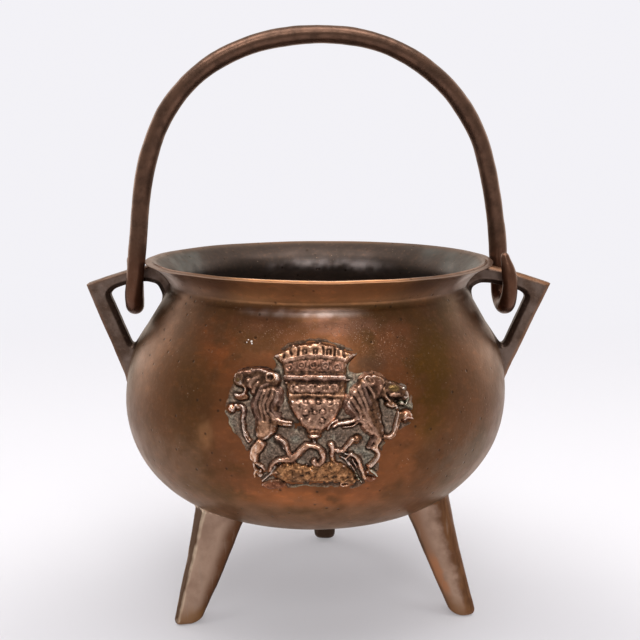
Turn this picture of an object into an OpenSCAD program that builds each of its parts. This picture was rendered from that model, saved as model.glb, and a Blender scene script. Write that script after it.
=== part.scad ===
// Small bronze cauldron: a round-bellied pot on three tapering legs, with two angular ears, a swinging
// bail handle whose ends are rolled round the ears, and a cast ornament on the front of the belly.
// Millimetres. The origin is on the ground under the middle of the pot, +Z is up and the front is -Y.

/* [Bowl] */
// Greatest outside radius of the belly
belly_r = 87.6; // [84:0.2:92]
// Clear height under the middle of the bowl
stand_h = 42.5; // [36:0.5:50]
// Wall thickness of the bowl
wall = 3; // [2:0.1:4.5]
// Radius of the nearly flat bottom, in section
bottom_arc_r = 300; // [240:5:360]
// Radius of the belly below its widest line, in section
lower_arc_r = 52.3; // [48:0.1:56]
// Radius of the belly above its widest line, in section
upper_arc_r = 62; // [56:0.5:68]
// Angle of the straight shoulder from the vertical
shoulder_angle = 31.3; // [28:0.1:34]
// Height from the widest line of the belly to the neck
neck_rise = 51; // [47:0.5:55]

/* [Collar] */
// Height of the collar's outside from the neck to the edge of the lip
collar_h = 9.8; // [7:0.2:13]
// How far the collar flares out between the neck and the edge of the lip
collar_flare = 9.5; // [7:0.5:12]
// Radius of the collar's hollow curve, in section
collar_arc_r = 20; // [17:1:30]
// Radius of the rounded lip
lip_r = 1.1; // [0.8:0.1:1.4]

/* [Ears] */
// How far the corner of an ear stands out beyond the lip
ear_reach = 29; // [26:0.5:33]
// How far the corner of an ear lies below the lip
ear_drop = 12; // [9:0.5:15]
// Fall of the ear's upper arm, in degrees
arm_fall = 18; // [12:1:22]
// Height of the upper arm's section
arm_t = 5.6; // [4.5:0.1:6.2]
// Thickness of the strut that runs down to the belly
strut_t = 7; // [5:0.5:9]
// Depth of both bars from front to back
ear_depth = 8.6; // [7:0.1:9.2]
// Flat cut along each long edge of the bars
ear_chamfer = 2.4; // [1.8:0.1:2.5]
// Height above the belly's widest line at which the strut lands
strut_rise = 9; // [5:0.5:14]

/* [Bail] */
// Diameter of the bail's rod
rod_d = 7.8; // [6:0.2:8.4]
// How far the hand-forged rod swells where its curves meet
rod_swell = 0.3; // [0.2:0.05:0.6]
// How far the middle of each eye stands out beyond the lip
eye_out = 6.7; // [5:0.1:9]
// Play between the crown of an eye and the arm that it hangs on
eye_play = 1.2; // [0.6:0.1:2]
// Inside radius of the eyes at the ends of the bail
eye_inner_r = 7.2; // [7:0.1:8]
// Angle that each end is bent round its arm
eye_turn = 290; // [250:5:300]
// Height of the rod's middle at the crown of the bail above the pivot
bail_rise = 110.6; // [100:0.2:125]
// Radius of the flatter crown of the bail
crown_arc_r = 117; // [100:1:140]
// Angle from the middle of the bail to where the crown ends
crown_angle = 10; // [5:1:16]
// Inward lean of the bail's legs
bail_lean = 6.5; // [2:0.5:8]

/* [Legs] */
// Distance of the feet from the middle of the pot
foot_ring_r = 70.5; // [62:0.5:76]
// Outward splay of the legs
leg_splay = 19; // [14:0.5:22]
// Direction of the left front leg, counted from +X towards +Y
leg_left_azimuth = 213.7; // [206:0.1:220]
// Direction of the right front leg
leg_right_azimuth = 336; // [328:0.5:342]
// Direction of the rear leg
leg_rear_azimuth = 87.5; // [82:0.5:98]
// Depth of a leg, from its outer to its inner edge, at the bowl
leg_top_depth = 17; // [13:0.5:21]
// Width of a leg's outer face at the bowl
leg_top_outer = 8; // [6:0.5:11]
// Width of a leg's inner face at the bowl
leg_top_inner = 15; // [11:0.5:18]
// Depth of a leg at the foot
foot_depth = 10.5; // [8:0.5:13]
// Width of a leg's outer face at the foot
foot_outer = 7; // [5.5:0.5:9]
// Width of a leg's inner face at the foot
foot_inner = 9.5; // [7:0.5:12]
// Rounding of a leg's long edges
leg_round = 2; // [1.5:0.1:2.6]
// Height of the worn, rounded part of the foot
foot_wear = 3.5; // [2:0.5:5]
// How far the wear takes the foot in, all round
foot_round = 1.5; // [0.5:0.1:1.8]

/* [Ornament] */
// Height of the ornament's middle above the ground
relief_z = 107; // [103:0.5:110]
// Thickness of the ornament's ground plate
plate_t = 0.8; // [0.5:0.1:1.2]
// Height of limbs, tails, scrolls and the mound above the bowl
low_relief = 1.5; // [1.3:0.1:1.8]
// Height of the bodies and the urn above the bowl
mid_relief = 2.2; // [1.9:0.1:2.5]
// Height of the heads, mouldings and bosses above the bowl
high_relief = 2.9; // [2.6:0.1:3.2]
// Rows of bosses on the urn
boss_rows = 3; // [1:1:3]

/* [Hidden] */

fine = 180;
// Larger than any part of the cauldron
big = 400;

// Heights and radii of the bowl, from the ground up
bottom_centre_z = stand_h + bottom_arc_r;
bottom_angle = acos((belly_r - lower_arc_r) / (bottom_arc_r - lower_arc_r));
belly_z = bottom_centre_z - (bottom_arc_r - lower_arc_r) * sin(bottom_angle);
neck_z = belly_z + neck_rise;
neck_r = shoulder_r(neck_z);

// Section of the collar: hollow curves from the neck to the lip, which is cut square and rounded
neck_out = [neck_r, neck_z];
neck_in = [neck_r - wall / cos(shoulder_angle), neck_z];
lip_out = neck_out + [collar_flare, collar_h];
collar_c = arc_centre(neck_out, lip_out, collar_arc_r);
lip_normal = (lip_out - collar_c) / collar_arc_r;
lip_in = lip_out + 2 * lip_r * lip_normal;
collar_in_c = arc_centre(neck_in, lip_in, collar_arc_r + wall);
lip_c = lip_out + lip_r * lip_normal;
rim_r = lip_c[0] + lip_r;
rim_z = lip_c[1] + lip_r;
// Length by which what trims a shape runs past it
past = 5;

// Corner of an ear, and the landing of its strut on the belly
ear_corner = [rim_r + ear_reach, rim_z - ear_drop];
strut_land = [upper_arc_x(belly_z + strut_rise), belly_z + strut_rise];
strut_lean = atan((ear_corner[0] - strut_land[0]) / (ear_corner[1] - strut_land[1]));

// Pivot of the bail: each eye hangs from the top of its arm
rod_r = rod_d / 2;
eye_r = eye_inner_r + rod_r;
eye_x = rim_r + eye_out;
pivot_z = ear_corner[1] + (ear_corner[0] - eye_x) * tan(arm_fall) + eye_play - eye_inner_r;
// One leg of the bail passes in front of its arm and the other behind, so the arch stands askew
bail_skew = atan(eye_r / eye_x);
bail_half_span = norm([eye_x, eye_r]);
bail_arc_r = (bail_half_span - crown_arc_r * sin(crown_angle)
    - (bail_rise - crown_arc_r + crown_arc_r * cos(crown_angle)) * tan(bail_lean))
  / (cos(bail_lean) - sin(crown_angle) + (sin(bail_lean) - cos(crown_angle)) * tan(bail_lean));
bail_arc_c = [
  (crown_arc_r - bail_arc_r) * sin(crown_angle),
  pivot_z + bail_rise - crown_arc_r + (crown_arc_r - bail_arc_r) * cos(crown_angle)
];
// Radius of the rod's swellings, where it turns into the eyes and where its arcs meet
swell_r = rod_r + rod_swell;

bronze = "#6b4a33";
dark_bronze = "#4a372c";
leg_bronze = "#7d6350";
copper = "#8d5b45";

function polar(r, a) = [r * cos(a), r * sin(a)];
// Centre, on the outer and lower side, of the arc of radius r from p up to q
function arc_centre(p, q, r) = let (chord = q - p, sag = sqrt(r * r - chord * chord / 4))
  (p + q) / 2 + sag * [chord[1], -chord[0]] / norm(chord);
function upper_arc_x(z) = belly_r - upper_arc_r + sqrt(pow(upper_arc_r, 2) - pow(z - belly_z, 2));
// Radius of the straight shoulder at height z
function shoulder_r(z) = belly_r - upper_arc_r + upper_arc_r * cos(shoulder_angle)
  - (z - belly_z - upper_arc_r * sin(shoulder_angle)) * tan(shoulder_angle);

// Smooth curve through points: four steps between each point and the next
steps = 4;
function curve_point(a, b, c, d, t) =
  0.5 * (2 * b + (c - a) * t + (2 * a - 5 * b + 4 * c - d) * t * t + (3 * b - a - 3 * c + d) * t * t * t);
function closed_curve(p) = let (n = len(p)) [
  for (i = [0 : n - 1]) for (k = [0 : steps - 1])
    curve_point(p[(i + n - 1) % n], p[i], p[(i + 1) % n], p[(i + 2) % n], k / steps)
];
function open_curve(p) = let (n = len(p)) concat([
  for (i = [0 : n - 2]) for (k = [0 : steps - 1])
    curve_point(p[max(i - 1, 0)], p[i], p[i + 1], p[min(i + 2, n - 1)], k / steps)
], [p[n - 1]]);
// Band along a curve whose width goes from w0 to w1
function band(p, w0, w1) = let (
  c = open_curve(p),
  n = len(c),
  side = [for (i = [0 : n - 1]) let (d = c[min(i + 1, n - 1)] - c[max(i - 1, 0)]) [-d[1], d[0]] / norm(d)],
  half = [for (i = [0 : n - 1]) (w0 + (w1 - w0) * i / (n - 1)) / 2]
) concat(
  [for (i = [0 : n - 1]) c[i] + half[i] * side[i]],
  [for (i = [n - 1 : -1 : 0]) c[i] - half[i] * side[i]]
);

// Strip of the section between two heights; its corners are given, so that strips meet exactly
module slab(z0, z1, reach = big) polygon([[0, z0], [reach, z0], [reach, z1], [0, z1]]);

// Half section of the bowl up to the neck, filled to the axis and grown outwards by g
module bowl_section(g) {
  bottom_end = bottom_centre_z - (bottom_arc_r + g) * sin(bottom_angle);
  shoulder_start = belly_z + (upper_arc_r + g) * sin(shoulder_angle);
  shoulder_x = belly_r - upper_arc_r + (upper_arc_r + g) * cos(shoulder_angle);
  intersection() {
    translate([0, bottom_centre_z]) circle(r = bottom_arc_r + g, $fn = 2 * fine);
    slab(0, bottom_end);
  }
  intersection() {
    union() {
      translate([belly_r - lower_arc_r, belly_z]) circle(r = lower_arc_r + g, $fn = fine);
      slab(bottom_end, belly_z, belly_r - lower_arc_r);
    }
    slab(bottom_end, belly_z);
  }
  intersection() {
    translate([belly_r - upper_arc_r, belly_z]) circle(r = upper_arc_r + g, $fn = fine);
    slab(belly_z, shoulder_start);
  }
  polygon([
    [0, shoulder_start], [shoulder_x, shoulder_start],
    [shoulder_x - (neck_z - shoulder_start) * tan(shoulder_angle), neck_z], [0, neck_z]
  ]);
}

// The whole pot as a solid without a hollow, which trims what is set against it
module pot_core() {
  rotate_extrude($fn = fine) {
    bowl_section(0);
    difference() {
      polygon([
        [0, neck_z], neck_out + [past, 0], lip_out - past * lip_normal, lip_in, [lip_in[0], rim_z], [0, rim_z]
      ]);
      translate(collar_c) circle(r = collar_arc_r, $fn = fine);
    }
  }
}

module collar_section() {
  difference() {
    intersection() {
      translate(collar_in_c) circle(r = collar_arc_r + wall, $fn = fine);
      polygon([
        neck_in - [past, 0], neck_out + [past, 0], lip_out - past * lip_normal, lip_in + past * lip_normal
      ]);
    }
    translate(collar_c) circle(r = collar_arc_r, $fn = fine);
  }
}

module lip_section() {
  outward = [lip_normal[1], -lip_normal[0]] * past;
  intersection() {
    translate(lip_c) circle(r = lip_r, $fn = 48);
    polygon([
      lip_out - past * lip_normal, lip_out - past * lip_normal + outward,
      lip_in + past * lip_normal + outward, lip_in + past * lip_normal
    ]);
  }
}

module pot_body() {
  color(bronze) rotate_extrude($fn = fine) {
    difference() {
      bowl_section(0);
      bowl_section(-wall);
    }
    collar_section();
    lip_section();
    // Laps over the seam of collar and lip, inside both
    translate(lip_c) rotate(atan2(lip_normal[1], lip_normal[0])) square(lip_r, center = true);
  }
}

// Eight-sided bar from the origin along +X, with its top face at z = 0
module ear_bar(length, t) {
  c = ear_chamfer;
  c_t = min(ear_chamfer, t / 2 - 0.6);
  h = ear_depth / 2;
  rotate([90, 0, 90]) linear_extrude(length) polygon([
    [-h, -c_t], [-h + c, 0], [h - c, 0], [h, -c_t],
    [h, -t + c_t], [h - c, -t], [-h + c, -t], [-h, -t + c_t]
  ]);
}

// Ear on the +X side: an upper arm out of the collar and a strut down to the belly
module ear() {
  reach = ear_corner[0] - neck_r + 2 * past;
  drop = (ear_corner[1] - strut_land[1]) / cos(strut_lean) + strut_t;
  far_in = neck_r - 4 * past;
  difference() {
    intersection() {
      union() {
        translate([ear_corner[0], 0, ear_corner[1]]) rotate([0, arm_fall, 0])
          translate([-reach, 0, 0]) ear_bar(reach + arm_t, arm_t);
        translate([ear_corner[0], 0, ear_corner[1]]) rotate([0, 90 + strut_lean, 0])
          translate([-strut_t, 0, 0]) ear_bar(drop + strut_t, strut_t);
      }
      rotate([90, 0, 0]) linear_extrude(2 * ear_depth, center = true) polygon([
        ear_corner, [lip_out[0], ear_corner[1] + (ear_corner[0] - lip_out[0]) * tan(arm_fall)],
        [lip_in[0], lip_out[1]], [far_in, lip_out[1]], [far_in, strut_land[1] - strut_t],
        [strut_land[0] - tan(strut_lean) * strut_t, strut_land[1] - strut_t]
      ]);
    }
    pot_core();
  }
}
module ear_right() { color(bronze) ear(); }
module ear_left() { color(bronze) mirror([1, 0, 0]) ear(); }

// Four round rods at the corners of a leg's section at one height; x is the leg's outward direction
module leg_ring(z, depth, outer, inner, round) {
  x0 = foot_ring_r - z * tan(leg_splay);
  for (s = [-1, 1]) {
    translate([x0 + depth / 2 - round, s * (outer / 2 - round), z]) cylinder(r = round, h = 0.01, $fn = 32);
    translate([x0 - depth / 2 + round, s * (inner / 2 - round), z]) cylinder(r = round, h = 0.01, $fn = 32);
  }
}

// A tapering cast leg, let up into the curve of the bowl
module leg(azimuth) {
  // The sizes at the bowl hold at stand_h, and the taper runs on into the bowl as far as leg_top
  leg_top = stand_h + 4 * past;
  grow = leg_top / stand_h;
  color(leg_bronze) difference() {
    rotate([0, 0, azimuth]) hull() {
      leg_ring(leg_top, foot_depth + (leg_top_depth - foot_depth) * grow,
        foot_outer + (leg_top_outer - foot_outer) * grow,
        foot_inner + (leg_top_inner - foot_inner) * grow, leg_round);
      leg_ring(foot_wear, foot_depth, foot_outer, foot_inner, leg_round);
      leg_ring(0, foot_depth - 2 * foot_round, foot_outer - 2 * foot_round, foot_inner - 2 * foot_round,
        leg_round - foot_round / 3);
    }
    pot_core();
  }
}
module leg_front_left() { leg(leg_left_azimuth); }
module leg_front_right() { leg(leg_right_azimuth); }
module leg_rear() { leg(leg_rear_azimuth); }

// What stands between two heights above the bowl, on its front, inside the outlines given
module raised(from, to) {
  intersection() {
    rotate_extrude($fn = fine) difference() {
      bowl_section(to);
      bowl_section(from);
    }
    translate([0, 0, relief_z]) rotate([90, 0, 0]) linear_extrude(big / 3) children();
  }
}

// Outline of the ground plate, with the ornament's middle at the origin
plate_points = [
  [0, 30.5], [11, 28.5], [18.5, 25], [15.5, 18], [22, 15.5], [32, 12.5], [37.5, 6], [38.5, -2],
  [33, -9.5], [28, -12.5], [26, -21], [27, -27.5], [10, -30.5], [-10, -30.5], [-25, -28],
  [-26.5, -20], [-29.5, -12.5], [-36, -4], [-38, 4], [-35, 14], [-25, 17], [-15.5, 18], [-18.5, 25],
  [-11, 28.5]
];
module relief_ground_plate() {
  color(dark_bronze) raised(0, plate_t) polygon(closed_curve(plate_points));
}

// Half widths of the coronet, its band of roundels, the moulding and the urn, from the top down
coronet_half = 17;
roundel_half = 12.8;
moulding_half = 13.1;
urn_half = 11.4;
// Where they begin above the ornament's middle, and the coronet's peak. Its two edges hang lower at the ends
coronet_low = 20.4;
coronet_low_sag = 0.8;
coronet_peak = 28.2;
coronet_sag = 4.6;
roundel_low = 16;
roundel_h = 4;
moulding_low = 12.4;
moulding_h = 3;
urn_top = 6.6;
band_h = 6;
knob_r = 2.2;
knob_z = -10.2;
coronet_points = concat(
  [for (i = [-3 : 3]) [coronet_half * i / 3, coronet_peak - coronet_sag * pow(i / 3, 2)]],
  [for (i = [3 : -1 : -3]) [roundel_half * i / 3, coronet_low - coronet_low_sag * pow(i / 3, 2)]]
);
urn_points = [
  [urn_half, urn_top], [10.6, 1.5], [8, -3], [4, -7.2], [3.2, -9.5], [-3.2, -9.5], [-4, -7.2], [-8, -3], [-10.6, 1.5],
  [-urn_half, urn_top]
];
// Beads along the coronet, and how far each hangs below the middle one for its place squared
bead_r = 1.4;
bead_pitch = 4.6;
bead_sag = 0.45;
boss_r = 1.3;
boss_pitch_x = 5;
boss_pitch_z = 4.2;
module relief_crowned_urn() {
  color(copper) {
    raised(plate_t, low_relief)
      translate([-urn_half, urn_top - 1.6]) square([2 * urn_half, coronet_low - urn_top + 2.2]);
    raised(plate_t, mid_relief) {
      polygon(coronet_points);
      translate([-roundel_half, roundel_low]) square([2 * roundel_half, roundel_h]);
      translate([-urn_half, urn_top]) square([2 * urn_half, band_h]);
      polygon(urn_points);
    }
    raised(plate_t, high_relief) {
      for (i = [-3 : 3])
        translate([bead_pitch * i, coronet_peak - 1.2 - bead_sag * i * i]) circle(r = bead_r, $fn = 24);
      translate([-moulding_half, moulding_low]) square([2 * moulding_half, moulding_h]);
      translate([-urn_half, urn_top - 0.6]) square([2 * urn_half, 1.2]);
      translate([0, knob_z]) circle(r = knob_r, $fn = 24);
      for (row = [0 : boss_rows - 1]) for (i = [0 : 3 - row])
        translate([(i - (3 - row) / 2) * boss_pitch_x, 3.2 - row * boss_pitch_z]) circle(r = boss_r, $fn = 24);
    }
  }
}

// A lion standing on its hind legs on the left of the urn, its head turned back outwards
lion_body = [
  [-19, 12.5], [-15.5, 10], [-14.5, 3], [-16, -3], [-17, -8.5], [-20.5, -11], [-25.8, -10.5], [-25.5, -4.5],
  [-23, 1], [-23, 8]
];
lion_thigh = [
  [-26, -9.5], [-19.8, -10], [-20, -14], [-22.6, -17], [-21.6, -20.5], [-19.5, -22.8], [-23.5, -22.5], [-25, -19],
  [-26.6, -15]
];
lion_head = [
  [-17.4, 13.5], [-19, 15.6], [-23, 16.2], [-27, 15], [-31, 15.4], [-33, 13.2], [-31.6, 11], [-28.4, 10.4],
  [-31.5, 8], [-29, 5.8], [-25.4, 6.8], [-21, 6.5]
];
lion_forelegs = [[[-17, -1], [-12, -2], [-9, -4], [-6.4, -6]], [[-17, -4.5], [-13.5, -5.4], [-10.5, -5.6]]];
lion_tail = [[-25, -10], [-28, -8.5], [-29.2, -4], [-29.4, 0], [-32, 2.6]];
tail_tuft = [-34, 0.6];
module lion() {
  color(copper) {
    raised(plate_t, low_relief) {
      polygon(closed_curve(lion_thigh));
      for (arm = lion_forelegs) polygon(band(arm, 3, 2.2));
      polygon(band(lion_tail, 2, 2));
      translate(tail_tuft) circle(r = 2.8, $fn = 24);
    }
    raised(plate_t, mid_relief) polygon(closed_curve(lion_body));
    raised(plate_t, high_relief) {
      polygon(closed_curve(lion_head));
      translate([-17.6, 13.4]) circle(r = 2.3, $fn = 24);
    }
  }
}
module relief_lion_left() { lion(); }
module relief_lion_right() { mirror([1, 0, 0]) lion(); }

// Scrolls between the lions and the mound that they stand on
mound_points = [
  [-24, -25], [-17, -23.6], [-8, -21.5], [0, -22], [9, -21], [17, -23.8], [24, -25.4], [22, -28.6], [10, -28],
  [0, -29], [-11, -28.4], [-20, -29.4]
];
scroll_curves = [
  [[-18.5, -24], [-11, -18.2], [-6, -14.6], [-1, -14], [2.4, -16.4], [1.6, -19.4], [-0.8, -19.2]],
  [[-14.4, -11.4], [-11.6, -13], [-10, -16.4], [-7.4, -16.8]],
  [[5.8, -13.4], [6.6, -16.4], [8, -22.5]],
  [[16, -10.2], [13, -12.4], [10.4, -16.2], [13.6, -19], [18, -25.5]]
];
module relief_scrolls() {
  color(copper) raised(plate_t, low_relief) {
    polygon(closed_curve(mound_points));
    for (scroll = scroll_curves) polygon(band(scroll, 2, 1.8));
  }
}

// Quarter or part of a turn of rod in the XZ plane, from angle a0 to a1, counted from +X towards +Z
module rod_arc(c, r, a0, a1) {
  translate([c[0], 0, c[1]]) rotate([90, 0, 0]) mirror([0, 0, 1]) rotate([0, 0, a0])
    rotate_extrude(angle = a1 - a0, $fn = fine) translate([r, 0]) circle(r = rod_r, $fn = 48);
}

// One side of the arch in its own plane, from the crown down to the pivot's height
module arch_side() {
  foot = [bail_half_span, pivot_z];
  arc_end = bail_arc_c + polar(bail_arc_r, bail_lean);
  crown_end = bail_arc_c + polar(bail_arc_r, 90 - crown_angle);
  rod_arc(bail_arc_c, bail_arc_r, bail_lean, 90 - crown_angle);
  for (meet = [arc_end, crown_end]) translate([meet[0], 0, meet[1]]) sphere(r = swell_r, $fn = 48);
  translate([foot[0], 0, foot[1]]) rotate([0, -bail_lean, 0]) cylinder(r = rod_r, h = norm(arc_end - foot), $fn = 48);
}

// Eye round the arm on the +X side: the rod comes down behind the arm and turns under it to the front
module eye() {
  translate([eye_x, 0, pivot_z]) rotate([90, 0, 90]) rotate([0, 0, -eye_turn])
    rotate_extrude(angle = eye_turn, $fn = fine) translate([eye_r, 0]) circle(r = rod_r, $fn = 48);
  translate([eye_x, eye_r, pivot_z]) sphere(r = swell_r, $fn = 48);
}

module bail() {
  color(dark_bronze) {
    rotate([0, 0, bail_skew]) {
      rod_arc([0, pivot_z + bail_rise - crown_arc_r], crown_arc_r, 90 - crown_angle, 90 + crown_angle);
      arch_side();
      mirror([1, 0, 0]) arch_side();
    }
    eye();
    rotate([0, 0, 180]) eye();
  }
}

pot_body();
ear_left();
ear_right();
leg_front_left();
leg_front_right();
leg_rear();
relief_ground_plate();
relief_crowned_urn();
relief_lion_left();
relief_lion_right();
relief_scrolls();
bail();
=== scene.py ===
"""Looks of the bronze cauldron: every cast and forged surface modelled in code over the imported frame."""

import math

import bpy
import numpy as np
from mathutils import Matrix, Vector

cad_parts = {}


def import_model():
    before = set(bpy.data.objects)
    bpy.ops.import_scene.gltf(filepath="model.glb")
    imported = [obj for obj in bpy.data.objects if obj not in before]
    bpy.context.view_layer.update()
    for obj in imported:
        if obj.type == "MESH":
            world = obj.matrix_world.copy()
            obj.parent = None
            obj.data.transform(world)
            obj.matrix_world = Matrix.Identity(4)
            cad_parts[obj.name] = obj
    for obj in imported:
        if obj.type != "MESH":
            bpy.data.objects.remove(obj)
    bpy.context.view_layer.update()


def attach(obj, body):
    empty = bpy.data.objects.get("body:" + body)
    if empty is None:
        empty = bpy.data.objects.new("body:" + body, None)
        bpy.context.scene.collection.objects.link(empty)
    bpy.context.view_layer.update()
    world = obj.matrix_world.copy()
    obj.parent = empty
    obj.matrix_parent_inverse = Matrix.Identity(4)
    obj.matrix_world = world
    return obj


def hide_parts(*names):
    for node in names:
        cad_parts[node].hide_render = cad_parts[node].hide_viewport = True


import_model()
MM = 0.001

# Sizes, in millimetres, as in the part
WALL = 3.0
BELLY_R, BELLY_Z = 87.6, 97.33
LOW_R, UP_R, BOT_R = 52.3, 62.0, 300.0
STAND = 42.5
SHOULDER = math.radians(31.3)
NECK_R, NECK_Z = 67.15, 148.33
LIP_OUT = np.array([76.65, 158.13])
COLLAR_R = 20.0
LIP_R = 1.1
PIVOT_Z = 149.463
RNG = np.random.default_rng(11)
LATTICE = RNG.random((32, 32, 32))


# Numeric helpers
def smooth(t):
    return t * t * (3 - 2 * t)


def ramp(x, a, b):
    return smooth(np.clip((x - a) / (b - a), 0, 1))


def noise(p, size, seed=0.0):
    """Smooth value noise from -1 to 1 at points p (n, 3) with blobs of the given size."""
    q = p / size + np.array([13.1, 7.7, 3.3]) * (1 + seed)
    i = np.floor(q).astype(int)
    f = smooth(q - i)
    out = 0.0
    for dx in (0, 1):
        for dy in (0, 1):
            for dz in (0, 1):
                w = (f[:, 0] if dx else 1 - f[:, 0]) * (f[:, 1] if dy else 1 - f[:, 1])
                w = w * (f[:, 2] if dz else 1 - f[:, 2])
                out = out + w * LATTICE[(i[:, 0] + dx) % 32, (i[:, 1] + dy) % 32, (i[:, 2] + dz) % 32]
    return out * 2 - 1


def smin(a, b, k):
    h = np.clip(0.5 + 0.5 * (b - a) / k, 0, 1)
    return b + (a - b) * h - k * h * (1 - h)


def smax(a, b, k):
    return -smin(-a, -b, k)


def arc_centre(p, q, r):
    chord = q - p
    sag = math.sqrt(r * r - chord @ chord / 4)
    return (p + q) / 2 + sag * np.array([chord[1], -chord[0]]) / np.linalg.norm(chord)


NECK_OUT = np.array([NECK_R, NECK_Z])
NECK_IN = NECK_OUT - [WALL / math.cos(SHOULDER), 0]
COLLAR_C = arc_centre(NECK_OUT, LIP_OUT, COLLAR_R)
LIP_N = (LIP_OUT - COLLAR_C) / COLLAR_R
LIP_IN = LIP_OUT + 2 * LIP_R * LIP_N
COLLAR_IN_C = arc_centre(NECK_IN, LIP_IN, COLLAR_R + WALL)
BOT_ANGLE = math.acos((BELLY_R - LOW_R) / (BOT_R - LOW_R))


def core_distance(r, z):
    """Signed distance from the pot's outside, a filled solid, in its half section."""
    low_c, up_c = (BELLY_R - LOW_R, BELLY_Z), (BELLY_R - UP_R, BELLY_Z)
    d_low = np.hypot(r - low_c[0], z - low_c[1]) - LOW_R
    d_bot = np.hypot(r, z - STAND - BOT_R) - BOT_R
    d_up = np.hypot(r - up_c[0], z - up_c[1]) - UP_R
    n = (math.cos(SHOULDER), math.sin(SHOULDER))
    d_cone = (r - NECK_R) * n[0] + (z - NECK_Z) * n[1]
    below = np.arctan2(low_c[1] - z, r - low_c[0]) > BOT_ANGLE
    above = np.arctan2(z - up_c[1], r - up_c[0]) > SHOULDER
    belly = np.where(z > BELLY_Z, np.where(above | (r < up_c[0]), d_cone, d_up),
                     np.where(below | (r < low_c[0]), d_bot, d_low))
    collar = COLLAR_R - np.hypot(r - COLLAR_C[0], z - COLLAR_C[1])
    # beyond the lip only its own rounding counts
    lip_c = LIP_OUT + LIP_R * LIP_N
    beyond = (r - LIP_OUT[0]) * LIP_N[1] - (z - LIP_OUT[1]) * LIP_N[0] > 0
    collar = np.where(beyond, np.hypot(r - lip_c[0], z - lip_c[1]) - LIP_R, collar)
    collar = np.maximum(collar, NECK_Z - 6 - z)
    return smin(belly, collar, 1.2)


def collar_radius(z):
    """Radius of the collar's outside at height z, held at its ends."""
    zc = np.clip(z, NECK_Z, LIP_OUT[1])
    return COLLAR_C[0] - np.sqrt(COLLAR_R ** 2 - (zc - COLLAR_C[1]) ** 2)


def belly_radius(z):
    """Radius of the pot's outside at height z, up to the neck."""
    low = BELLY_R - LOW_R + np.sqrt(np.maximum(LOW_R ** 2 - (z - BELLY_Z) ** 2, 0))
    up = BELLY_R - UP_R + np.sqrt(np.maximum(UP_R ** 2 - (z - BELLY_Z) ** 2, 0))
    cone = NECK_R - (z - NECK_Z) * math.tan(SHOULDER)
    return np.where(z < BELLY_Z, low, np.where(z < BELLY_Z + UP_R * math.sin(SHOULDER), up, cone))


def lean(z):
    """How far the casting leans to the left at height z; the feet and ears keep their places."""
    return 0.17 - 4.66 * np.clip(160 - z, 0, 100) / 160


def cast(p):
    """The real casting leans and undulates a little; every cast piece is bent by this one field."""
    p = np.array(p, float)
    p[:, 0] += lean(p[:, 2])
    p[:, 2] += 0.7 * ramp(p[:, 2], 30, 46) * (1 - ramp(p[:, 2], 58, 84))
    r = np.hypot(p[:, 0], p[:, 1]) + 1e-6
    wave = 0.28 * noise(p, 46.0, 1) + 0.12 * noise(p, 19.0, 2)
    # the feet keep their place on the floor, the ears their joints
    wave *= ramp(p[:, 2], 12, 40)
    p[:, 0] += wave * p[:, 0] / r
    p[:, 1] += wave * p[:, 1] / r
    return p


# Meshes
def add_mesh(name, verts, faces, body, nodes, normals=None, smooth_shade=True):
    me = bpy.data.meshes.new(name)
    me.from_pydata((np.asarray(verts) * MM).tolist(), [], [list(map(int, f)) for f in faces])
    me.validate()
    me.polygons.foreach_set("use_smooth", [smooth_shade] * len(me.polygons))
    me.update()
    ob = bpy.data.objects.new(name, me)
    bpy.context.scene.collection.objects.link(ob)
    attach(ob, body)
    if nodes:
        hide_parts(*nodes)
    return ob


def store(ob, name, values):
    """Keeps one number or one colour at each vertex, for the materials to read."""
    if values.ndim == 1:
        ob.data.attributes.new(name, "FLOAT", "POINT").data.foreach_set("value", values)
        return
    colour = np.ones((len(values), 4))
    colour[:, :3] = values
    ob.data.attributes.new(name, "FLOAT_COLOR", "POINT").data.foreach_set("color", colour.ravel())


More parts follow.
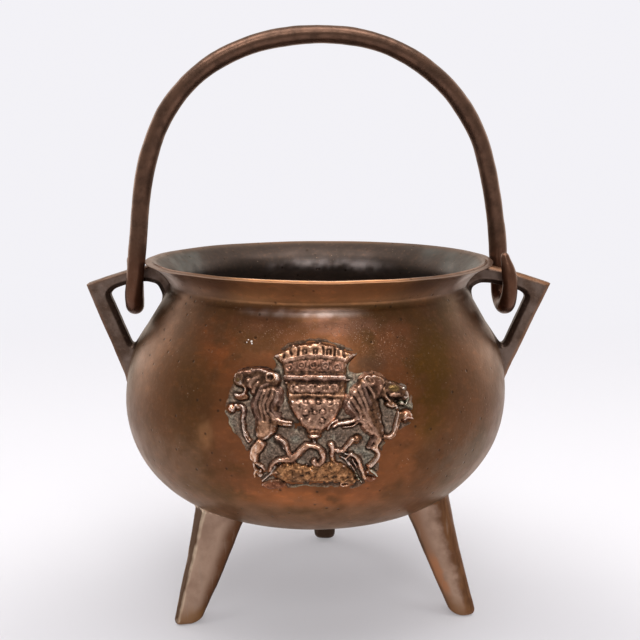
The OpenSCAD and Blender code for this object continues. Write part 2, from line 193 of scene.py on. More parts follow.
def surface_net(field, lo, step):
    """Closed surface where the sampled field changes sign: one vertex per crossed cell."""
    f = field
    n = np.array(f.shape)
    inside = f < 0
    part = lambda a, i, j, k: a[i:n[0] - 1 + i, j:n[1] - 1 + j, k:n[2] - 1 + k]
    count = np.zeros(n - 1, np.int8)
    for i in (0, 1):
        for j in (0, 1):
            for k in (0, 1):
                count += part(inside, i, j, k)
    active = (count > 0) & (count < 8)
    cells = np.argwhere(active)
    index = np.full(n - 1, -1, np.int64)
    index[active] = np.arange(len(cells))
    total = np.zeros((len(cells), 3))
    hits = np.zeros(len(cells))
    for axis in range(3):
        for a in (0, 1):
            for b in (0, 1):
                off = [0, 0, 0]
                off[(axis + 1) % 3], off[(axis + 2) % 3] = a, b
                end = list(off)
                end[axis] = 1
                f0, f1 = part(f, *off)[active], part(f, *end)[active]
                cross = (f0 < 0) != (f1 < 0)
                t = f0[cross] / (f0[cross] - f1[cross])
                pt = np.tile(np.array(off, float), (cross.sum(), 1))
                pt[:, axis] += t
                total[cross] += pt
                hits[cross] += 1
    verts = lo + step * (cells + total / hits[:, None])
    faces = []
    for axis in range(3):
        u, v = (axis + 1) % 3, (axis + 2) % 3
        sl0 = [slice(None)] * 3
        sl1 = [slice(None)] * 3
        sl0[axis], sl1[axis] = slice(0, -1), slice(1, None)
        a, b = inside[tuple(sl0)], inside[tuple(sl1)]
        edges = np.argwhere(a != b)
        ok = (edges[:, u] > 0) & (edges[:, v] > 0) & (edges[:, u] < n[u] - 1) & (edges[:, v] < n[v] - 1)
        edges = edges[ok]
        flip = a[tuple(edges.T)]
        quad = []
        for du, dv in ((0, 0), (1, 0), (1, 1), (0, 1)):
            c = edges.copy()
            c[:, u] -= 1 - du
            c[:, v] -= 1 - dv
            quad.append(index[tuple(c.T)])
        q = np.stack(quad, 1)
        q[~flip] = q[~flip][:, ::-1]
        faces.append(q)
    faces = np.vstack(faces)
    return verts, faces


def grid_points(lo, hi, step):
    axes = [np.arange(a, b + step, step) for a, b in zip(lo, hi)]
    g = np.stack(np.meshgrid(*axes, indexing="ij"), -1)
    return g.reshape(-1, 3), g.shape[:3]


def settle(verts, field_at, rounds=2):
    """Moves the net's vertices onto the surface itself, along the field's slope."""
    e = 0.02
    for _ in range(rounds):
        d = field_at(verts)
        g = np.stack([field_at(verts + e * np.eye(3)[i]) - d for i in range(3)], 1) / e
        verts = verts - np.clip(d, -0.3, 0.3)[:, None] * g / np.maximum((g * g).sum(1), 0.25)[:, None]
    return verts


def carve(name, field_at, lo, hi, step, body, nodes):
    """A piece from a distance field, bent with the casting."""
    p, shape = grid_points(lo, hi, step)
    verts, faces = surface_net(field_at(p).reshape(shape), np.array(lo, float), step)
    verts = settle(verts, field_at)
    ob = add_mesh(name, cast(verts), faces, body, nodes)
    slope = np.stack([field_at(verts + 0.05 * np.eye(3)[i]) - field_at(verts) for i in range(3)], 1)
    slope /= np.maximum(np.linalg.norm(slope, axis=1), 1e-9)[:, None]
    # near an edge the far side is close, near a crease the surface rises again
    edge = 1 + field_at(verts - 1.2 * slope) / 1.2
    crease = 1 - field_at(verts + 1.6 * slope) / 1.6
    store(ob, "edge", np.clip(edge, 0, 1))
    store(ob, "crease", np.clip(crease, 0, 1))
    return ob


# The pot
def profile():
    """Half section of the shell as one closed run of points, from the outer bottom to the inner bottom."""
    def arc(c, r, a0, a1, n):
        t = np.radians(np.linspace(a0, a1, n))
        return [np.array([c[0] + r * math.cos(x), c[1] + r * math.sin(x)]) for x in t]
    bot = math.degrees(BOT_ANGLE)
    sh = math.degrees(SHOULDER)
    low_c, up_c, bot_c = (BELLY_R - LOW_R, BELLY_Z), (BELLY_R - UP_R, BELLY_Z), (0, STAND + BOT_R)

    def side(g):
        run = arc(bot_c, BOT_R + g, -90, -bot, 26)
        run += arc(low_c, LOW_R + g, -bot, 0, 70)[1:]
        run += arc(up_c, UP_R + g, 0, sh, 34)[1:]
        return run
    angle = lambda c, p: math.degrees(math.atan2(p[1] - c[1], p[0] - c[0]))
    outer = side(0)
    last = outer[-1]
    outer += [last + (NECK_OUT - last) * t for t in np.linspace(0, 0.94, 22)[1:]]
    collar = arc(COLLAR_C, COLLAR_R, angle(COLLAR_C, NECK_OUT), angle(COLLAR_C, LIP_OUT), 26)
    # the crease at the neck is filled a little
    mid = NECK_OUT + [0.5, 0.02]
    outer += [mid] + collar[2:]
    outer = [q + [0.30 * math.exp(-((q[1] - NECK_Z + 2.6) / 1.9) ** 2), 0] for q in outer]
    # the rim is filed level, with its corners rubbed round
    along = np.array([LIP_N[1], -LIP_N[0]])
    level = LIP_OUT[1] + 1.35
    reach = (level - LIP_OUT[1]) / along[1]
    corner, far = LIP_OUT + reach * along, np.array([LIP_IN[0] + 0.15, level])
    start = LIP_OUT + 0.72 * reach * along
    outer += bend(start, corner, corner + (far - corner) * 0.16, 6)
    outer += bend(corner + (far - corner) * 0.7, far, LIP_IN, 8)[:-1]
    inner = arc(COLLAR_IN_C, COLLAR_R + WALL, angle(COLLAR_IN_C, LIP_IN), angle(COLLAR_IN_C, NECK_IN), 24)
    # the inside needs fewer points
    under = side(-WALL)[::-1]
    under = under[:1] + under[1:-1:3] + under[-1:]
    top = under[0]
    down = [NECK_IN + (top - NECK_IN) * t for t in np.linspace(0, 1, 18)[1:-1]]
    # the inside of the neck is rounded
    inner = inner[:-10] + bend(inner[-10], NECK_IN, down[3], 12)[1:-1] + down[3:]
    return np.array(outer + inner + under)


def bend(a, b, c, n):
    """Points on a curve from a to c, drawn towards b."""
    return [(1 - t) ** 2 * a + 2 * t * (1 - t) * b + t * t * c for t in np.linspace(0, 1, n)]


def pot():
    prof = profile()
    prof[0, 0] = prof[-1, 0] = 0.0
    n_a = 370
    t = np.linspace(0, 2 * math.pi, n_a, endpoint=False)
    rings = prof[1:-1]
    m = len(rings)
    v = np.empty((m * n_a + 2, 3))
    for i, (r, z) in enumerate(rings):
        v[i * n_a:(i + 1) * n_a] = np.stack([r * np.cos(t), r * np.sin(t), np.full(n_a, z)], 1)
    v[-2] = [0, 0, prof[0, 1]]
    v[-1] = [0, 0, prof[-1, 1]]
    i, j = np.meshgrid(np.arange(m - 1), np.arange(n_a), indexing="ij")
    k = (j + 1) % n_a
    quads = np.stack([i * n_a + j, i * n_a + k, (i + 1) * n_a + k, (i + 1) * n_a + j], -1).reshape(-1, 4)
    faces = quads.tolist()
    a = np.arange(n_a)
    b = (a + 1) % n_a
    faces += np.stack([np.full(n_a, m * n_a), b, a], 1).tolist()
    faces += np.stack([np.full(n_a, m * n_a + 1), (m - 1) * n_a + a, (m - 1) * n_a + b], 1).tolist()
    w = cast(v)
    # the rim was filed by hand, so it isn't quite level
    top = ramp(v[:, 2], NECK_Z, 158)
    ang = np.arctan2(v[:, 1], v[:, 0])
    w[:, 2] += top * (0.25 * np.sin(2 * ang + 0.6) + 0.18 * noise(v, 14.0, 5))
    ob = add_mesh("pot_shell", w, faces, "pot", ["pot_body"])
    # which rings lie inside the pot
    k = np.arange(m)
    rim = int(np.argmax(rings[:, 1]))
    inner = np.concatenate([np.repeat((k > rim + 2).astype(float), n_a), [0.0, 1.0]])
    edge = np.concatenate([np.repeat(np.exp(-((k - rim - 2.0) / 2.2) ** 2), n_a), [0.0, 0.0]])
    store(ob, "inner", inner)
    store(ob, "edge", edge)
    store(ob, "tint", patina_and_painted_light(v, inner, edge))
    store(ob, "grit", grit(v))
    return ob


# Patches of colour that the belly's front shows: place x, z and reach in mm, then colour and strength
PATCHES = (
    (-37, 116, 13, 16, (0.190, 0.070, 0.025), 0.55),
    (-41, 131, 11, 11, (0.24, 0.066, 0.018), 0.75), (-50, 112, 9, 26, (0.100, 0.042, 0.012), 0.7),
    (-36, 84, 9, 14, (0.17, 0.060, 0.024), 0.6), (-2, 70, 26, 5, (0.31, 0.100, 0.032), 0.85),
    (33, 86, 12, 14, (0.22, 0.076, 0.026), 0.8), (31, 134, 11, 10, (0.18, 0.062, 0.026), 0.75),
    (47, 120, 9, 24, (0.105, 0.046, 0.006), 0.85), (8, 141, 18, 4, (0.20, 0.090, 0.055), 0.7),
    (-22, 141, 16, 4, (0.15, 0.056, 0.026), 0.6), (-60, 82, 16, 12, (0.17, 0.088, 0.048), 0.75),
    (60, 84, 14, 12, (0.135, 0.082, 0.050), 0.7), (0, 60, 55, 10, (0.17, 0.082, 0.040), 0.7),
    (-44, 99, 3, 7, (0.34, 0.16, 0.07), 0.45), (19, 127, 8, 6, (0.078, 0.045, 0.025), 0.6))


def patina_and_painted_light(v, inner, edge):
    """Colour over the pot: brown outside, in patches round the ornament, and greyer inside, with painted light and
    shade on the belly, at the neck, inside and on the rim.
    """
    big, mid = noise(v, 34.0, 61), noise(v, 12.0, 62)
    fine = 0.6 * noise(v, 4.5, 63) + 0.4 * noise(v, 2.0, 64)
    c = np.tile([0.120, 0.047, 0.016], (len(v), 1))
    c = toward(c, (0.086, 0.041, 0.011), ramp(big + 0.5 * mid + 0.2 * fine, -0.2, 1.0))
    c = toward(c, (0.140, 0.058, 0.024), 0.6 * ramp(-big + 0.5 * mid + 0.3 * fine, 0.0, 1.1))
    front = ramp(-v[:, 1], 5, 30)
    # reddish round the ornament
    r = belly_radius(v[:, 2])
    a, b = drawing(cast(np.stack([v[:, 0], -np.sqrt(np.maximum(r * r - v[:, 0] ** 2, 0)), v[:, 2]], 1)))
    away = polygon_distance(a, b, GROUND) / 16.4
    halo = ramp(0.95 * np.exp(-(np.maximum(away, 0) / 8) ** 2) + 0.35 * mid + 0.35 * fine, 0.25, 1.0)
    c = toward(c, (0.215, 0.072, 0.027), halo * front * 0.8)
    for x, z, rx, rz, colour, strength in PATCHES:
        k = np.exp(-((v[:, 0] - x) / rx) ** 2 - ((v[:, 2] - z) / rz) ** 2)
        k = ramp(k * (1 + 0.5 * mid + 0.9 * fine) + 0.10 * fine, 0.05, 0.95) * strength
        c = toward(c, colour, k * front)
    # painted light lightens the belly's lower front, and painted shade darkens its upper sides
    low = 0.42 * ramp(v[:, 2], 86, 64) * front
    dim = 0.22 * ramp(v[:, 2], 124, 136) * ramp(np.abs(v[:, 0]), 24, 52)
    c = c * (1 + low - dim)[:, None]
    # the collar, and a painted shadow line in the crease where it meets the belly
    collar = ramp(v[:, 2], NECK_Z - 0.5, NECK_Z + 1.5)
    side = ramp(np.abs(v[:, 0]) + 8 * mid, 22, 60)
    c = toward(c, (0.500, 0.240, 0.105), collar * (1 - side))
    c = toward(c, (0.190, 0.108, 0.074), collar * side)
    c = toward(c, (0.080, 0.034, 0.012), 0.5 * np.exp(-((v[:, 2] - NECK_Z - 1.2) / 1.2) ** 2) * (0.8 + 0.4 * fine))
    # a painted highlight: a pale streak on the shoulder just under the neck
    shoulder_highlight = np.exp(-((v[:, 2] - NECK_Z + 2.7) / 1.15) ** 2) * ramp(fine + 0.7 * mid, -0.8, 0.5)
    c = toward(c, (0.52, 0.41, 0.37), 0.85 * shoulder_highlight * ramp(np.abs(v[:, 0] + 5) + 4 * mid, 30, 10) * front)
    grey = np.tile([0.060, 0.042, 0.034], (len(v), 1))
    grey = toward(grey, (0.120, 0.118, 0.110), ramp(np.abs(v[:, 0]) + 14 * mid, 48, 74))
    grey = toward(grey, (0.048, 0.033, 0.027), ramp(big + 0.6 * fine, 0.0, 0.9) * 0.8)
    # painted light: the inside below the neck is lightened where it lies in shade
    grey = toward(grey, (0.120, 0.092, 0.080), ramp(v[:, 2], NECK_Z + 1, NECK_Z - 4))
    # darker and browner higher up in the middle, and a painted highlight: a pale band where the neck bends inside, at
    # the back
    grey = toward(grey, (0.060, 0.041, 0.033), ramp(v[:, 2], NECK_Z + 3, NECK_Z + 7) * ramp(np.abs(v[:, 0]), 60, 20))
    grey = toward(grey, (0.74, 0.62, 0.60), np.exp(-((v[:, 2] - NECK_Z + 0.2) / 2.4) ** 2)
                  * ramp(np.abs(v[:, 0] - 5), 36, 16) * ramp(v[:, 1], 30, 52) * ramp(mid + 0.5 * fine, -0.6, 0.4))
    c = toward(c, grey, inner)
    # the rim's edge is darkened all round, and a painted highlight runs pale along it in front
    c = toward(c, (0.120, 0.080, 0.060), 0.85 * edge)
    rim_highlight = ramp(fine, -0.8, 0.4) * ramp(v[:, 1], 12, -14) * ramp(np.abs(v[:, 0] - 10), 66, 26)
    return toward(c, (0.70, 0.55, 0.49), edge * rim_highlight)


def grit(v):
    """Where the belly's front keeps the sandy grain of its mould."""
    k = 0.0
    for x, z, rx, rz, share in ((12, 139, 13, 4.5, 1.0), (27, 134, 9, 7, 0.55), (37, 122, 4, 11, 0.35), (-20, 139, 16, 4, 0.45)):
        k = k + share * np.exp(-((v[:, 0] - x) / rx) ** 2 - ((v[:, 2] - z) / rz) ** 2)
    return np.clip(k, 0, 1) * ramp(-v[:, 1], 5, 30)


def toward(c, colour, k):
    """Blends colours c towards another by k, one number for each."""
    return c + (np.asarray(colour, float) - c) * np.asarray(k)[:, None]


# Legs
def leg_field(azimuth, reach, splay_tan, top_depth, top_outer, top_inner, foot, bulge, crisp, seed):
    ca, sa = math.cos(math.radians(azimuth)), math.sin(math.radians(azimuth))
    depth0, outer0, inner0 = foot

    def field(p):
        z = p[:, 2]
        x = p[:, 0] + lean(z)
        u = x * ca + p[:, 1] * sa - (reach - z * splay_tan)
        v = -x * sa + p[:, 1] * ca
        t = np.clip(z / STAND, -0.1, 1.6)
        flare = 0.5 * ramp(t, 0.85, 1.35)
        d = (depth0 + (top_depth - depth0) * t) / 2 + flare
        wo = (outer0 + (top_outer - outer0) * t) / 2 + flare
        wi = (inner0 + (top_inner - inner0) * t) / 2 + flare + bulge * np.exp(-((t - 0.45) / 0.3) ** 2)
        # the foot is worn round, as deep as drop
        drop = 3.6
        worn = drop * (1 - np.sqrt(1 - np.clip((drop - z) / drop, 0, 0.999) ** 2))
        d, wo, wi = d - 0.9 * worn, wo - 0.55 * worn, wi - 0.55 * worn
        # half width at this depth, from the inner face at -d to the outer face at +d
        w = wi + (wo - wi) * (u + d) / (2 * d)
        side = (np.abs(v) - w) * 0.985
        ends = np.abs(u) - d
        f = smax(side, ends, crisp + (5.0 - crisp) * ramp(u, 2, -3))
        f = f + 0.13 * noise(p, 6.0, seed) + 0.05 * noise(p, 2.6, seed + 1)
        f = smax(f, -z, 0.8)
        core = core_distance(np.hypot(p[:, 0], p[:, 1]), z)
        f2 = smin(f, core + 0.02 + 0.6 * ramp(f, 0.8, 2.2), 1.8)
        f2 = np.maximum(f2, -(core + 1.8))
        return np.maximum(f2, f - 2.6)
    return field


def legs():
    made = []
    for name, az, reach, splay, top, foot, bulge, crisp, seed in (
            ("leg_front_left", 213.7, 71.5, 20.3, (20.6, 7.0, 17.0), (12.4, 3.6, 10.0), 0.7, 1.6, 3),
            ("leg_front_right", 336.0, 72.6, 20.2, (18.8, 8.8, 15.6), (11.4, 6.8, 10.6), 0.2, 5.0, 6),
            ("leg_rear", 87.5, 70.5, 19.0, (17.0, 8.0, 17.0), (10.5, 7.0, 12.4), 0.3, 4.0, 9)):
        f = leg_field(az, reach, math.tan(math.radians(splay)), *top, foot, bulge, crisp, seed)
        c, s = math.cos(math.radians(az)), math.sin(math.radians(az))
        pts = np.array([[r * c + q * s, r * s - q * c] for r in (38, 82) for q in (-13, 13)])
        lo = [pts[:, 0].min() - 1, pts[:, 1].min() - 1, -1.2]
        hi = [pts[:, 0].max() + 1, pts[:, 1].max() + 1, 62]
        ob = carve(name + "_cast", f, lo, hi, 0.5, "pot", [name])
        normal = np.empty(len(ob.data.vertices) * 3)
        ob.data.vertices.foreach_get("normal", normal)
        normal = normal.reshape(-1, 3)
        store(ob, "outer", ramp(normal[:, 0] * c + normal[:, 1] * s, 0.72, 0.86))
        # how far out a point lies on its leg, from 0 at the inner face to 1 at the outer one
        place = np.empty(len(ob.data.vertices) * 3)
        ob.data.vertices.foreach_get("co", place)
        x, y, z = (place.reshape(-1, 3) / MM).T
        t = np.clip(z / STAND, 0, 1.2)
        depth = foot[0] + (top[0] - foot[0]) * t
        u = x * c + y * s - (reach - z * math.tan(math.radians(splay)))
        store(ob, "across", np.clip(0.5 + u / depth, 0, 1))
        made.append(ob)
    return made


# Ears
def polygon_distance(x, z, pts):
    """Signed distance from a closed polygon in a plane, negative inside."""
    d = np.full(len(x), 1e9)
    inside = np.zeros(len(x), bool)
    pts = np.asarray(pts, float)
    for a, b in zip(pts, np.roll(pts, -1, 0)):
        e = b - a
        wx, wz = x - a[0], z - a[1]
        h = np.clip((wx * e[0] + wz * e[1]) / (e @ e), 0, 1)
        d = np.minimum(d, (wx - h * e[0]) ** 2 + (wz - h * e[1]) ** 2)
        cond = (a[1] > z) != (b[1] > z)
        with np.errstate(divide="ignore", invalid="ignore"):
            cross = x < (b[0] - a[0]) * (z - a[1]) / (b[1] - a[1] if b[1] != a[1] else 1e-9) + a[0]
        inside ^= cond & cross
    return np.where(inside, -1, 1) * np.sqrt(d)


EAR_OUT_L = [(60, 158.2), (70, 158.0), (76, 157.2), (88, 154.4), (98, 151.3), (106.6, 148.2), (89.2, 103.6),
             (84, 98), (70, 98)]
EAR_OUT_R = [(60, 158.2), (70, 158.0), (76, 157.2), (88, 154.4), (98, 151.3), (106.2, 148.6), (86.9, 106.2),
             (82, 101), (70, 100)]
EAR_HOLE_L = [(96.2, 143.8), (93.4, 146.3), (88.6, 148.0), (79.2, 149.6), (74, 148.3), (71.2, 142.3), (70, 138),
              (84.2, 121.4), (85.2, 120.3), (86.6, 120.6)]
EAR_HOLE_R = [(95.2, 142.9), (92.4, 145.2), (88.0, 146.8), (78.6, 148.8), (74.0, 149.0), (70.6, 147.2),
              (69.4, 143.4), (69, 138), (84.2, 120.4), (85.6, 121.0)]


def soft_corners(points, reach):
    """The outline with each corner bent over a short way."""
    p = [np.array(q, float) for q in points]
    out = []
    for a, b, c in zip(p[-1:] + p[:-1], p, p[1:] + p[:1]):
        ka = min(reach / np.linalg.norm(a - b), 0.45)
        kc = min(reach / np.linalg.norm(c - b), 0.45)
        out += bend(b + (a - b) * ka, b, b + (c - b) * kc, 4)
    return out


def ear_field(side, outline, hole, rim, seed):
    hole = soft_corners(hole, 1.6)

    def field(p):
        # the ears hang on the leaning casting, so their outline is set back by its lean
        x, y, z = p[:, 0] * side, p[:, 1], p[:, 2]
        xx = x + lean(z) * side
        out = polygon_distance(xx, z, outline)
        gap = polygon_distance(xx, z, hole)
        flat = smax(out, -gap, 0.4)
        half = 4.3 - 0.25 * ramp(z, 118, 108)
        f = smax(flat, np.abs(y) - half, 0.35)
        # the edges of the window are cut back more than the outer ones
        f = smax(f, (-gap + np.abs(y) - half + 2.1) * 0.7071, 0.4)
        f = smax(f, (out + np.abs(y) - half + rim) * 0.7071, 0.4)
        f = f + 0.07 * noise(p, 7.0, seed) + 0.035 * noise(p, 2.2, seed + 1)
        r = np.hypot(p[:, 0], p[:, 1])
        core = core_distance(r, z)
        f2 = smin(f, core + 0.02 + 0.5 * ramp(f, 1.0, 2.6), 2.6)
        f2 = np.maximum(f2, -(core + 1.6))
        f2 = np.maximum(f2, collar_radius(z) - 1.1 - r)
        return np.maximum(f2, f - 3.2)
    return field


def ears():
    made = []
    for name, side, outline, hole, rim, seed in (
            ("ear_left", -1, EAR_OUT_L, EAR_HOLE_L, 0.7, 21), ("ear_right", 1, EAR_OUT_R, EAR_HOLE_R, 1.5, 25)):
        xs = sorted((side * 62, side * 109))
        lo, hi = [xs[0], -8.2, 96], [xs[1], 8.2, 160.4]
        field = ear_field(side, outline, hole, rim, seed)
        ob = carve(name + "_cast", field, lo, hi, 0.36, "pot", [name])
        co = np.empty(len(ob.data.vertices) * 3)
        ob.data.vertices.foreach_get("co", co)
        co = co.reshape(-1, 3) / MM
        window = polygon_distance(co[:, 0] * side, co[:, 2], soft_corners(hole, 1.6))
        store(ob, "window", ramp(window, 2.5, 1.7))
        border = polygon_distance(co[:, 0] * side, co[:, 2], outline)
        store(ob, "border", ramp(border, -2.2, -0.6) * (1.0 if side > 0 else 0.35))
        made.append(ob)
    return made


# Bail
def catmull(points, per=12):
    p = np.asarray(points, float)
    q = np.vstack([2 * p[0] - p[1], p, 2 * p[-1] - p[-2]])
    out = []
    for i in range(1, len(q) - 2):
        a, b, c, d = q[i - 1:i + 3]
        for t in np.linspace(0, 1, per, endpoint=False):
            out.append(0.5 * (2 * b + (c - a) * t + (2 * a - 5 * b + 4 * c - d) * t * t
                              + (3 * b - a - 3 * c + d) * t ** 3))
    out.append(q[-2])
    return np.array(out)


def resample(p, step):
    s = np.concatenate([[0], np.cumsum(np.linalg.norm(np.diff(p, axis=0), axis=1))])
    n = int(s[-1] / step)
    t = np.linspace(0, s[-1], n)
    return np.stack([np.interp(t, s, p[:, i]) for i in range(3)], 1), t / s[-1]


def sweep(path, radius_at, n=40, flat_at=None):
    """Directions round a path for a rod's rings, and the path's tangents; radius_at is not used."""
    p = path
    tan = np.gradient(p, axis=0)
    tan /= np.linalg.norm(tan, axis=1)[:, None]
    up = np.empty_like(p)
    u = np.cross(tan[0], [1.0, 0.2, 0.1])
    u /= np.linalg.norm(u)
    for i in range(len(p)):
        u = u - tan[i] * (u @ tan[i])
        u /= np.linalg.norm(u)
        up[i] = u
    side = np.cross(tan, up)
    a = np.linspace(0, 2 * math.pi, n, endpoint=False)
    ring = np.cos(a)[None, :, None] * up[:, None] + np.sin(a)[None, :, None] * side[:, None]
    return ring, tan


def bail_line():
    """Five points round the rod's left end; the rest of its middle line is not here."""
    k = math.radians
    left = [(-83.4, PIVOT_Z + 11.1 * math.sin(k(a)), 11.1 * math.cos(k(a))) for a in (-30, -60, -90, -120, -150)]
    return left


def build_bail():
    def on(x, y, z):
        return (x, y, z)
    R = 11.1
    k = math.radians
    pts = []
    # left end: the tip rises behind the arm; the rod passes under it and comes up in front
    for a in (64, 44, 22, 0, -22, -45, -67, -90, -112, -135, -158):
        pts.append(on(-84.9 - 1.3 * math.cos(k(a)), R * math.cos(k(a)), PIVOT_Z + R * math.sin(k(a))))
    arch_l = [(-82.9, -11.2, 152), (-82.0, -10.8, 162), (-81.1, -9.4, 172), (-80.1, -7.9, 184),
              (-78.4, -7.7, 196), (-75.4, -8.0, 208), (-71.0, -8.0, 219.6), (-64.7, -7.6, 230.4),
              (-56.0, -6.8, 240.2), (-45.4, -5.6, 248.2), (-33.0, -4.1, 254.2), (-20.0, -2.6, 258.0),
              (-8.0, -1.0, 259.6)]
    arch_r = [(4.0, 0.6, 260.0), (16.0, 2.2, 259.0), (28.6, 3.8, 256.0), (40.8, 5.4, 250.6), (51.6, 6.8, 243.2),
              (60.8, 7.8, 234.4), (68.3, 8.8, 224.0), (74.0, 9.6, 212.6), (77.6, 10.2, 200.6), (80.2, 10.8, 188.6),
              (82.1, 11.2, 177), (83.4, 11.4, 166.6), (84.0, 11.3, 157)]
    pts += arch_l + arch_r
    for a in (-2, -24, -46, -68, -90, -112, -135, -158, -180):
        pts.append(on(84.7 + 1.5 * math.sin(k(-a) / 2) ** 2, R * math.cos(k(a)), PIVOT_Z + R * math.sin(k(a))))
    # the drawn-out tip stands up in front of the arm
    pts += [(85.7, -11.0, PIVOT_Z + 4), (84.9, -10.6, PIVOT_Z + 8), (84.0, -10.1, PIVOT_Z + 11.3),
            (83.2, -9.7, PIVOT_Z + 14.4)]
    line = catmull(pts, 10)
    line, t = resample(line, 0.75)
    ring, tan = sweep(line, None, 36)
    rad = np.full(len(line), 4.05)
    rad += 0.10 * np.sin(t * 31) + 0.07 * np.sin(t * 83 + 1)
    length = t * len(line) * 0.75
    end = length[-1] - length
    # the left end is blunt, the right one is drawn out to a taper
    rad -= 0.5 * ramp(end, 30, 14) + 1.8 * ramp(end, 12, 0)
    rad -= 0.45 * ramp(length, 30, 10)
    dome = lambda s, r: np.sqrt(np.clip(1 - (1 - np.clip(s / r, 0, 1)) ** 2, 0.0004, 1))
    rad = rad * dome(length + 0.02, 2.6) * dome(end + 0.02, 2.2)
    pos = line[:, None, :] + ring * rad[:, None, None]
    flat = pos.reshape(-1, 3)
    bump = 0.10 * noise(flat, 7.0, 31) + 0.06 * noise(flat, 2.8, 32)
    live = np.minimum(1, rad / 3.0)[:, None].repeat(ring.shape[1], 1).reshape(-1)
    flat = flat + (ring.reshape(-1, 3)) * (bump * live)[:, None]
    n = ring.shape[1]
    m = len(line)
    i, j = np.meshgrid(np.arange(m - 1), np.arange(n), indexing="ij")
    jn = (j + 1) % n
    quads = np.stack([i * n + j, i * n + jn, (i + 1) * n + jn, (i + 1) * n + j], -1).reshape(-1, 4).tolist()
    quads.append(list(range(n))[::-1])
    quads.append([(m - 1) * n + q for q in range(n)])
    return add_mesh("bail_rod", flat, quads, "bail", ["bail"])


# Ornament
# It is drawn flat, as seen from a little above the front: the eye's place in mm, its tilt, and the drawing's
# scale and middle. A drawing unit is about 0.06 mm on the belly; a runs to the right and b down.
EYE, TILT = np.array([0.45, -534.5, 224.1]), 0.1722
DRAW_SCALE, DRAW_MID = 7653.0, (784.0, 0.0)
SINK = 1.6


def drawing(p):
    """Drawing coordinates of points on the casting."""
    d = p - EYE
    ahead = d[:, 1] * math.cos(TILT) - d[:, 2] * math.sin(TILT)
    up = d[:, 1] * math.sin(TILT) + d[:, 2] * math.cos(TILT)
    return DRAW_MID[0] + DRAW_SCALE * d[:, 0] / ahead, DRAW_MID[1] - DRAW_SCALE * up / ahead


def blur(h, times):
    for _ in range(times):
        for axis in (0, 1):
            q = np.concatenate([h.take([0], axis), h, h.take([-1], axis)], axis)
            n = h.shape[axis]
            h = (q.take(range(n), axis) + 2 * h + q.take(range(2, n + 2), axis)) / 4
    return h


